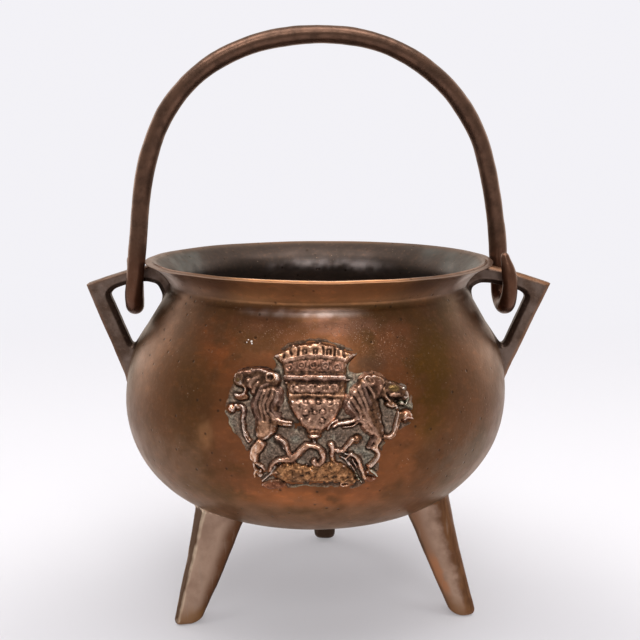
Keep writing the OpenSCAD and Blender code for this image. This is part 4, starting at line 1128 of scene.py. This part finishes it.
def relief():
    """The ornament: four figures, and the rough ground that they stand in."""
    figures = (("lion_left_cast", draw_lion_left, "relief_lion_left", (-38, -9), (80, 126), 31, 0.40),
               ("lion_right_cast", draw_lion_right, "relief_lion_right", (2, 40), (80, 126), 33, 0.40),
               ("urn_cast", draw_urn, "relief_crowned_urn", (-20, 19), (91, 138), 35, 0.32),
               ("scrolls_cast", draw_scrolls, "relief_scrolls", (-25, 25), (74, 101), 37, 0.12))
    made = []
    ground = Relief((-40.5, 42), (73, 139), 0.29, lift=0.6)
    for name, draw, node, x, z, seed, broad in figures:
        r = Relief(x, z, 0.17)
        draw(r)
        flat = np.stack([r.x, r.z, r.x * 0], 1)
        r.h += 0.16 * noise(flat, 2.3, seed) + 0.11 * noise(flat, 1.1, seed + 1) + 0.05 * noise(flat, 0.6, seed + 2)
        made.append(r.mesh(name, [node], "relief_copper", soften=3, spread=14, broad=broad))
        draw(ground)
    d, g = ground.dist, ground
    flat = np.stack([g.x, g.z, g.x * 0], 1)
    edge = -polygon_distance(g.a, g.b, closed(GROUND, 6)) + 12 * noise(flat, 4.0, 57) + 8 * noise(flat, 1.7, 58)
    lip = np.clip(0.55 + 0.6 * noise(flat, 6.0, 51), 0.1, 1)
    h = 0.6 + 0.25 * lip * np.exp(-((d - 14) / 5) ** 2) - 0.6 * np.exp(-(np.maximum(d, 0) / 7) ** 2)
    h += 0.20 * noise(flat, 2.4, 50) + 0.17 * noise(flat, 1.1, 52) + 0.10 * noise(flat, 0.55, 53)
    pits = noise(flat, 1.7, 54)
    h -= 0.4 * ramp(pits, 0.45, 0.8)
    inner = ramp(edge, -6, 30)
    g.h = -1.2 + (np.maximum(h, -0.5) + 1.2) * inner
    g.tint[:] = (0.180, 0.130, 0.098)
    g.tint = toward(g.tint, (0.220, 0.198, 0.158), ramp(noise(flat, 5.0, 55) + 0.6 * noise(flat, 1.8, 59), 0.0, 0.8))
    g.tint = toward(g.tint, (0.20, 0.18, 0.135), np.exp(-((d - 14) / 5) ** 2) * ramp(lip, 0.45, 1.0) * 0.5)
    # painted shadow: dark all round each figure's edge
    g.tint = toward(g.tint, (0.034, 0.018, 0.011), np.exp(-(np.maximum(d, 0) / 7) ** 2) * 0.8)
    # towards its border the ground takes the belly's brown
    g.tint = toward(g.tint, (0.085, 0.038, 0.018), ramp(edge, 46, 14) * ramp(noise(flat, 5.0, 56), -0.9, 0.1))
    # thin pale ridges where the mould's edges met
    for pts in ([(1029, 214), (986, 262), (964, 310), (970, 360)], [(1020, 360), (1074, 341), (1137, 345), (1209, 366)],
                [(1209, 366), (1294, 402), (1334, 442)], [(984, 388), (970, 458), (957, 525), (948, 593)],
                [(466, 242), (500, 276), (528, 312)], [(218, 372), (262, 334), (330, 303)],
                [(147, 579), (187, 668), (245, 757)], [(600, 1092), (700, 1086), (800, 1094), (960, 1100)],
                [(1176, 826), (1208, 806), (1232, 792)], [(1330, 540), (1370, 566), (1396, 588)]):
        g.line(0.6, 4.0, pts, "green", taper=True)
    made.append(g.mesh("ground_cast", ["relief_ground_plate"], "relief_ground", floor=-0.9))
    return made


# Outline of the ornament's ground, in drawing units
GROUND = [(384, 1066), (350, 1040), (326, 985), (306, 900), (262, 815), (200, 735), (160, 660), (140, 575), (165, 500),
          (190, 420), (222, 352), (290, 322), (330, 298), (400, 294), (455, 296), (478, 268), (446, 234), (500, 176),
          (590, 128), (700, 108), (820, 112), (930, 146), (1052, 204), (1000, 268), (982, 320), (1060, 326),
          (1150, 332), (1250, 372), (1340, 420), (1392, 480), (1414, 560), (1418, 650), (1372, 706), (1290, 760),
          (1222, 826), (1200, 910), (1178, 990), (1172, 1050), (1110, 1080), (1010, 1112), (760, 1102), (560, 1124),
          (440, 1124)]


# Stage
class Shader:
    """One material, built up from nodes; the textures follow the object's own coordinates, in metres."""

    def __init__(self, name, metal=0.7, rough=0.4):
        self.material = bpy.data.materials.new(name)
        self.material.use_nodes = True
        self.tree = self.material.node_tree
        self.base = self.tree.nodes["Principled BSDF"]
        self.base.inputs["Metallic"].default_value = metal
        self.base.inputs["Roughness"].default_value = rough
        if metal:
            self.base.inputs["Specular Tint"].default_value = (0.98, 0.91, 0.85, 1)
        self.place = self.node("ShaderNodeTexCoord").outputs["Object"]

    def node(self, kind, **settings):
        n = self.tree.nodes.new(kind)
        for key, value in settings.items():
            setattr(n, key, value)
        return n

    def put(self, socket, value):
        if isinstance(value, bpy.types.NodeSocket):
            self.tree.links.new(value, socket)
        elif isinstance(value, tuple):
            socket.default_value = (*value, 1)
        else:
            socket.default_value = value

    def noise(self, size, detail=3.0, rough=0.55, stretch=None):
        """Noise with blobs of the given size in mm."""
        n = self.node("ShaderNodeTexNoise")
        place = self.place
        if stretch:
            m = self.node("ShaderNodeMapping")
            m.inputs["Scale"].default_value = stretch
            self.put(m.inputs["Vector"], place)
            place = m.outputs[0]
        self.put(n.inputs["Vector"], place)
        n.inputs["Scale"].default_value = 1000 / size
        n.inputs["Detail"].default_value = detail
        n.inputs["Roughness"].default_value = rough
        return n.outputs["Fac"]

    def pits(self, spacing, share):
        """Scattered round spots: 1 in a spot's middle, 0 outside."""
        n = self.node("ShaderNodeTexVoronoi")
        self.put(n.inputs["Vector"], self.place)
        n.inputs["Scale"].default_value = 1000 / spacing
        return self.ramp(n.outputs["Distance"], share, share * 0.35)

    def dots(self, places):
        """Round dots on the belly's front: 1 inside each (x, z, radius) in mm, 0 outside."""
        total = 0.0
        for x, z, r in places:
            y = -math.sqrt(float(belly_radius(z)) ** 2 - x * x)
            n = self.node("ShaderNodeVectorMath", operation="DISTANCE")
            self.put(n.inputs[0], self.place)
            n.inputs[1].default_value = [c * MM for c in cast([[x, y, z]])[0]]
            total = self.math("MAXIMUM", self.ramp(n.outputs["Value"], r * 1.25 * MM, r * 0.8 * MM), total)
        return total

    def ramp(self, value, a, b, lo=0.0, hi=1.0):
        n = self.node("ShaderNodeMapRange", interpolation_type="SMOOTHSTEP")
        for key, v in (("Value", value), ("From Min", a), ("From Max", b), ("To Min", lo), ("To Max", hi)):
            self.put(n.inputs[key], v)
        return n.outputs[0]

    def math(self, kind, a, b=0.0):
        n = self.node("ShaderNodeMath", operation=kind)
        self.put(n.inputs[0], a)
        self.put(n.inputs[1], b)
        return n.outputs[0]

    def mix(self, k, a, b, how="MIX"):
        n = self.node("ShaderNodeMix", data_type="RGBA", blend_type=how)
        self.put(n.inputs[0], k)
        self.put(n.inputs[6], a)
        self.put(n.inputs[7], b)
        return n.outputs[2]

    def attribute(self, name, colour=False):
        n = self.node("ShaderNodeAttribute", attribute_name=name)
        return n.outputs["Color" if colour else "Fac"]

    def axis(self, which):
        n = self.node("ShaderNodeSeparateXYZ")
        self.put(n.inputs[0], self.place)
        return n.outputs[which]

    def bump(self, *layers):
        """Fine relief: pairs of a height socket and its depth in mm."""
        last = None
        for height, depth in layers:
            n = self.node("ShaderNodeBump")
            n.inputs["Distance"].default_value = depth * MM
            n.inputs["Strength"].default_value = 1.0
            self.put(n.inputs["Height"], height)
            if last is not None:
                self.put(n.inputs["Normal"], last)
            last = n.outputs[0]
        self.put(self.base.inputs["Normal"], last)

    def finish(self, colour, rough=None):
        self.put(self.base.inputs["Base Color"], colour)
        if rough is not None:
            self.put(self.base.inputs["Roughness"], rough)
        return self.material


def bowl_bronze():
    s = Shader("bowl_bronze", metal=0.8)
    cloud, grain, dust = s.noise(9, 4), s.noise(1.6, 3), s.noise(0.5, 2)
    pits = s.pits(5.5, 0.16)
    specks = s.math("MULTIPLY", s.pits(1.7, 0.22), s.ramp(s.noise(7, 2), 0.55, 0.72))
    sandy = s.math("MULTIPLY", s.attribute("grit"), s.ramp(s.noise(2.5, 3), 0.40, 0.6))
    sand = s.math("MULTIPLY", s.pits(0.8, 0.38), sandy)
    c = s.attribute("tint", True)
    streak = s.noise(5, 5, 0.7, stretch=(1.0, 1.0, 1.9))
    c = s.mix(s.ramp(cloud, 0.35, 0.75, 0.0, 0.45), c, s.mix(1.0, c, (0.62, 0.66, 0.62), "MULTIPLY"))
    c = s.mix(s.ramp(streak, 0.48, 0.72, 0.0, 0.55), c, s.mix(1.0, c, (1.55, 1.42, 1.30), "MULTIPLY"))
    c = s.mix(s.ramp(grain, 0.5, 0.8, 0.0, 0.18), c, (0.26, 0.13, 0.075))
    c = s.mix(s.math("MULTIPLY", pits, 0.7), c, (0.030, 0.016, 0.008))
    c = s.mix(s.math("MULTIPLY", specks, 0.5), c, (0.50, 0.34, 0.24))
    c = s.mix(s.math("MULTIPLY", sand, 0.6), c, (0.62, 0.42, 0.30))
    # painted highlights: four tiny pale dots on the belly's front
    c = s.mix(s.dots(((-27.9, 135.2, 0.26), (-26.6, 134.7, 0.42), (-28.5, 134.2, 0.24), (-26.4, 133.9, 0.30))),
              c, (0.85, 0.76, 0.70))
    rough = s.ramp(cloud, 0.3, 0.7, 0.30, 0.40)
    rough = s.math("ADD", rough, s.math("MULTIPLY", s.attribute("inner"), 0.12))
    s.bump((cloud, 0.10), (grain, 0.05), (dust, 0.012), (s.math("SUBTRACT", sand, pits), 0.10))
    return s.finish(c, rough)


def ear_bronze():
    s = Shader("ear_bronze", metal=0.72)
    cloud, grain = s.noise(7, 4), s.noise(1.4, 3)
    edge, crease = s.attribute("edge"), s.attribute("crease")
    c = s.mix(s.ramp(cloud, 0.35, 0.7), (0.185, 0.132, 0.108), (0.100, 0.060, 0.042))
    c = s.mix(s.ramp(edge, 0.20, 0.5, 0.0, 0.5), c, (0.27, 0.145, 0.085))
    c = s.mix(s.math("MULTIPLY", s.attribute("border"), 0.8), c, (0.19, 0.082, 0.034))
    # painted shade: the faces inside the windows, turned from the light, and the creases are darkened
    c = s.mix(s.math("MULTIPLY", s.attribute("window"), 0.85), c, (0.046, 0.026, 0.018))
    c = s.mix(s.ramp(crease, 0.15, 0.5, 0.0, 0.8), c, (0.045, 0.024, 0.014))
    c = s.mix(s.ramp(grain, 0.5, 0.8, 0.0, 0.3), c, (0.30, 0.19, 0.14))
    s.bump((cloud, 0.10), (grain, 0.06))
    return s.finish(c, s.ramp(cloud, 0.3, 0.7, 0.36, 0.50))


def leg_bronze(name, face, shade, edge_colour, foot, side, inner, dim, rub):
    """Colours of a leg: its face in two tones, its worn arris, its foot, its outer side, and its inner side with
    painted shade.

    The face dims by the share dim towards the outer side, as painted shade, and is worn bright low down by the share
    rub."""
    s = Shader(name, metal=0.65)
    cloud, grain = s.noise(8, 4), s.noise(1.2, 3)
    scratch = s.noise(2.2, 3, stretch=(1.0, 1.0, 0.12))
    edge, crease = s.attribute("edge"), s.attribute("crease")
    z = s.axis(2)
    across = s.math("ADD", s.attribute("across"), s.ramp(cloud, 0.3, 0.7, -0.05, 0.05))
    c = s.mix(s.ramp(cloud, 0.35, 0.7), face, shade)
    # painted shade: a darker band towards the inner side, and the face dimmed towards the outer side
    c = s.mix(s.ramp(across, 0.54, 0.20), c, inner)
    c = s.mix(s.ramp(across, 0.66, 0.93, 0.0, dim), c, side)
    low = s.math("MULTIPLY", s.ramp(z, 0.032, 0.024), s.ramp(z, 0.008, 0.014, 0.0, rub))
    c = s.mix(s.math("MULTIPLY", low, s.ramp(across, 0.50, 0.36)), c, (0.50, 0.21, 0.095))
    c = s.mix(s.ramp(s.math("ADD", z, s.math("MULTIPLY", cloud, 0.010)), 0.016, 0.006, 0.0, 0.8), c, foot)
    c = s.mix(s.attribute("outer"), c, side)
    worn = s.math("MULTIPLY", s.ramp(edge, 0.10, 0.24), s.ramp(scratch, 0.35, 0.6))
    c = s.mix(s.math("MULTIPLY", worn, s.ramp(across, 0.5, 0.75)), c, edge_colour)
    c = s.mix(s.ramp(scratch, 0.58, 0.72, 0.0, 0.35), c, (0.36, 0.26, 0.20))
    # painted shade in the creases, as where the leg meets the belly
    c = s.mix(s.ramp(crease, 0.12, 0.45, 0.0, 0.85), c, (0.035, 0.018, 0.010))
    s.bump((cloud, 0.14), (grain, 0.05), (scratch, 0.04))
    return s.finish(c, s.ramp(cloud, 0.3, 0.7, 0.38, 0.52))


def bail_metal():
    s = Shader("bail_metal", metal=0.75)
    cloud, grain = s.noise(6, 4), s.noise(1.3, 3)
    z = s.axis(2)
    c = s.mix(s.ramp(cloud, 0.35, 0.7), (0.145, 0.075, 0.048), (0.078, 0.040, 0.025))
    c = s.mix(s.ramp(z, 0.175, 0.150, 0.0, 0.75), c, (0.115, 0.046, 0.024))
    c = s.mix(s.ramp(grain, 0.52, 0.8, 0.0, 0.2), c, (0.20, 0.13, 0.10))
    s.bump((cloud, 0.14), (grain, 0.04))
    return s.finish(c, s.ramp(cloud, 0.3, 0.7, 0.28, 0.40))


def relief_copper():
    s = Shader("relief_copper", metal=0.85)
    grain, dust, stain = s.noise(0.9, 3), s.noise(2.2, 4), s.noise(4.0, 3)
    high = s.math("ADD", s.attribute("relief"), s.ramp(grain, 0.3, 0.7, -0.25, 0.25))
    high = s.math("ADD", high, s.ramp(dust, 0.3, 0.7, -0.35, 0.35))
    c = s.attribute("tint", True)
    c = s.mix(s.ramp(stain, 0.44, 0.64, 0.0, 0.7), c, s.mix(1.0, c, (0.50, 0.42, 0.36), "MULTIPLY"))
    # raised parts are lightened, partly as polished wear and partly as painted light, the highest get painted glints,
    # and hollows go dark, partly as patina and partly as painted shade
    c = s.mix(s.ramp(high, -0.35, 0.7, 0.0, 0.95), c, s.mix(1.0, c, (2.6, 2.75, 2.85), "MULTIPLY"))
    c = s.mix(s.ramp(high, 0.5, 1.0, 0.0, 0.6), c, (0.95, 0.78, 0.68))
    c = s.mix(s.ramp(high, -0.2, -0.65), c, (0.032, 0.016, 0.010))
    s.bump((grain, 0.10), (dust, 0.14))
    return s.finish(c, s.ramp(high, -0.4, 0.6, 0.50, 0.22))


def relief_ground():
    s = Shader("relief_ground", metal=0.45)
    s.base.inputs["Specular IOR Level"].default_value = 0.2
    grit, grain = s.noise(0.8, 3, 0.6), s.noise(2.4, 3)
    high = s.math("ADD", s.attribute("relief"), s.ramp(grit, 0.3, 0.7, -0.45, 0.45))
    c = s.attribute("tint", True)
    # raised grit is lightened, partly as wear and partly as painted light, and hollows go dark, partly as patina and
    # partly as painted shade
    c = s.mix(s.ramp(high, 0.0, 0.7, 0.0, 0.85), c, s.mix(1.0, c, (2.6, 2.5, 2.4), "MULTIPLY"))
    c = s.mix(s.ramp(high, 0.0, -0.5, 0.0, 0.7), c, (0.032, 0.020, 0.013))
    c = s.mix(s.ramp(grain, 0.48, 0.7, 0.0, 0.4), c, (0.11, 0.060, 0.034))
    s.bump((grit, 0.14), (grain, 0.18))
    return s.finish(c, 0.62)


def dress(made):
    """Gives each piece its material."""
    legs_look = {
        "leg_front_left_cast": ((0.48, 0.325, 0.238), (0.38, 0.245, 0.176), (0.82, 0.64, 0.47),
                                (0.27, 0.130, 0.048), (0.085, 0.037, 0.013), (0.135, 0.052, 0.020), 0.0, 0.0),
        "leg_front_right_cast": ((0.50, 0.335, 0.245), (0.38, 0.240, 0.170), (0.24, 0.105, 0.042),
                                 (0.27, 0.125, 0.050), (0.135, 0.052, 0.018), (0.300, 0.155, 0.090), 0.95, 0.7),
        # the rear leg is the same bronze, painted dark as shade where it stands under the belly
        "leg_rear_cast": ((0.065, 0.032, 0.020), (0.055, 0.026, 0.016), (0.12, 0.06, 0.03),
                          (0.07, 0.036, 0.02), (0.06, 0.03, 0.02), (0.05, 0.025, 0.015), 0.3, 0.0)}
    bowl, ear, bail = bowl_bronze(), ear_bronze(), bail_metal()
    copper, ground = relief_copper(), relief_ground()
    for ob in made:
        if ob.name in legs_look:
            ob.data.materials.append(leg_bronze(ob.name.replace("_cast", "_bronze"), *legs_look[ob.name]))
        elif ob.name == "pot_shell":
            ob.data.materials.append(bowl)
        elif ob.name.startswith("ear"):
            ob.data.materials.append(ear)
        elif ob.name.startswith("bail"):
            ob.data.materials.append(bail)
        else:
            ob.data.materials.append(ground if ob.name == "ground_cast" else copper)


def material(name, color, rough=0.4, metal=0.8):
    m = bpy.data.materials.new(name)
    m.use_nodes = True
    b = m.node_tree.nodes["Principled BSDF"]
    b.inputs["Base Color"].default_value = (*color, 1)
    b.inputs["Roughness"].default_value = rough
    b.inputs["Metallic"].default_value = metal
    return m


def stage():
    me = bpy.data.meshes.new("floor")
    n = 40
    vs, fs = [], []
    back, wide = 1.6, 2.4
    ys = [(-2.0, 0.0), (0.9, 0.0)]
    prof = [(-2.5, 0.0)] + [(0.7 + 0.9 * math.sin(a), 0.9 - 0.9 * math.cos(a)) for a in np.linspace(0, math.pi / 2, n)]
    prof += [(1.6, 4.0)]
    for y, z in prof:
        vs += [(-3.5, y, z), (3.5, y, z)]
    for i in range(len(prof) - 1):
        fs.append((2 * i, 2 * i + 1, 2 * i + 3, 2 * i + 2))
    me.from_pydata(vs, [], fs)
    me.polygons.foreach_set("use_smooth", [True] * len(me.polygons))
    ob = bpy.data.objects.new("floor", me)
    bpy.context.scene.collection.objects.link(ob)
    me.materials.append(backdrop())


def backdrop():
    """Pale floor with a painted shadow, darker in front and most in the middle; it shines by itself, a little near the
    pot and fully far back, for the eye and for what mirrors it.
    """
    s = Shader("backdrop", metal=0.0, rough=0.9)
    # painted shadow: the floor's front is darker, most in the middle
    near = s.ramp(s.axis(1), 0.06, -0.07)
    aside = s.ramp(s.math("ABSOLUTE", s.axis(0)), 0.10, 0.20)
    front = s.mix(aside, (0.61, 0.595, 0.622), (0.72, 0.705, 0.735))
    s.put(s.base.inputs["Base Color"], s.mix(near, (0.83, 0.815, 0.845), front))
    glow = s.node("ShaderNodeEmission")
    path = s.node("ShaderNodeLightPath")
    s.put(glow.inputs["Color"], s.mix(path.outputs["Is Camera Ray"], (0.88, 0.82, 0.76), (0.895, 0.885, 0.925)))
    seen = s.math("MAXIMUM", path.outputs["Is Camera Ray"], path.outputs["Is Glossy Ray"])
    share = s.math("MULTIPLY", s.ramp(s.axis(1), 0.05, 0.9, 0.28, 1.0), seen)
    mix = s.node("ShaderNodeMixShader")
    s.put(mix.inputs[0], share)
    s.put(mix.inputs[1], s.base.outputs[0])
    s.put(mix.inputs[2], glow.outputs[0])
    s.put(s.tree.nodes["Material Output"].inputs["Surface"], mix.outputs[0])
    return s.material


def camera():
    cam = bpy.data.cameras.new("camera")
    cam.sensor_width = 36.0
    cam.lens = 65.89
    cam.clip_start, cam.clip_end = 0.01, 20
    ob = bpy.data.objects.new("camera", cam)
    bpy.context.scene.collection.objects.link(ob)
    ob.location = (0.00045, -0.5345, 0.2241)
    ob.rotation_euler = (math.radians(90 - 9.866), 0, 0)
    bpy.context.scene.camera = ob


def world():
    """A white room, dimmer on the viewer's side."""
    w = bpy.data.worlds.new("world")
    bpy.context.scene.world = w
    w.use_nodes = True
    tree = w.node_tree
    place = tree.nodes.new("ShaderNodeTexCoord")
    part = tree.nodes.new("ShaderNodeSeparateXYZ")
    level = tree.nodes.new("ShaderNodeMapRange")
    level.inputs["From Min"].default_value = -1.0
    level.inputs["From Max"].default_value = 0.6
    level.inputs["To Min"].default_value = 0.28
    level.inputs["To Max"].default_value = 0.85
    tree.links.new(place.outputs["Generated"], part.inputs[0])
    tree.links.new(part.outputs[1], level.inputs["Value"])
    tree.nodes["Background"].inputs[0].default_value = (1.0, 0.965, 0.935, 1)
    tree.links.new(level.outputs[0], tree.nodes["Background"].inputs[1])


def area(name, loc, target, size, power, color=(1, 1, 1)):
    la = bpy.data.lights.new(name, "AREA")
    la.shape = "RECTANGLE"
    la.size, la.size_y = size
    la.energy = power
    la.color = color
    ob = bpy.data.objects.new(name, la)
    bpy.context.scene.collection.objects.link(ob)
    ob.location = loc
    ob.rotation_euler = (Vector(target) - Vector(loc)).to_track_quat("-Z", "Y").to_euler()


camera()
stage()
dress([pot()] + legs() + ears() + [build_bail()] + relief())
area("top", (0.0, -0.22, 1.25), (0, 0, 0.12), (1.5, 0.55), 12)
area("front", (0.12, -1.35, 1.35), (0, 0, 0.12), (0.8, 0.5), 7)
area("left", (-1.1, 0.85, 0.55), (0, 0, 0.12), (0.7, 1.2), 4)
area("right", (1.1, 0.85, 0.55), (0, 0, 0.12), (0.7, 1.2), 3)
world()
bpy.context.scene.view_settings.view_transform = "Standard"
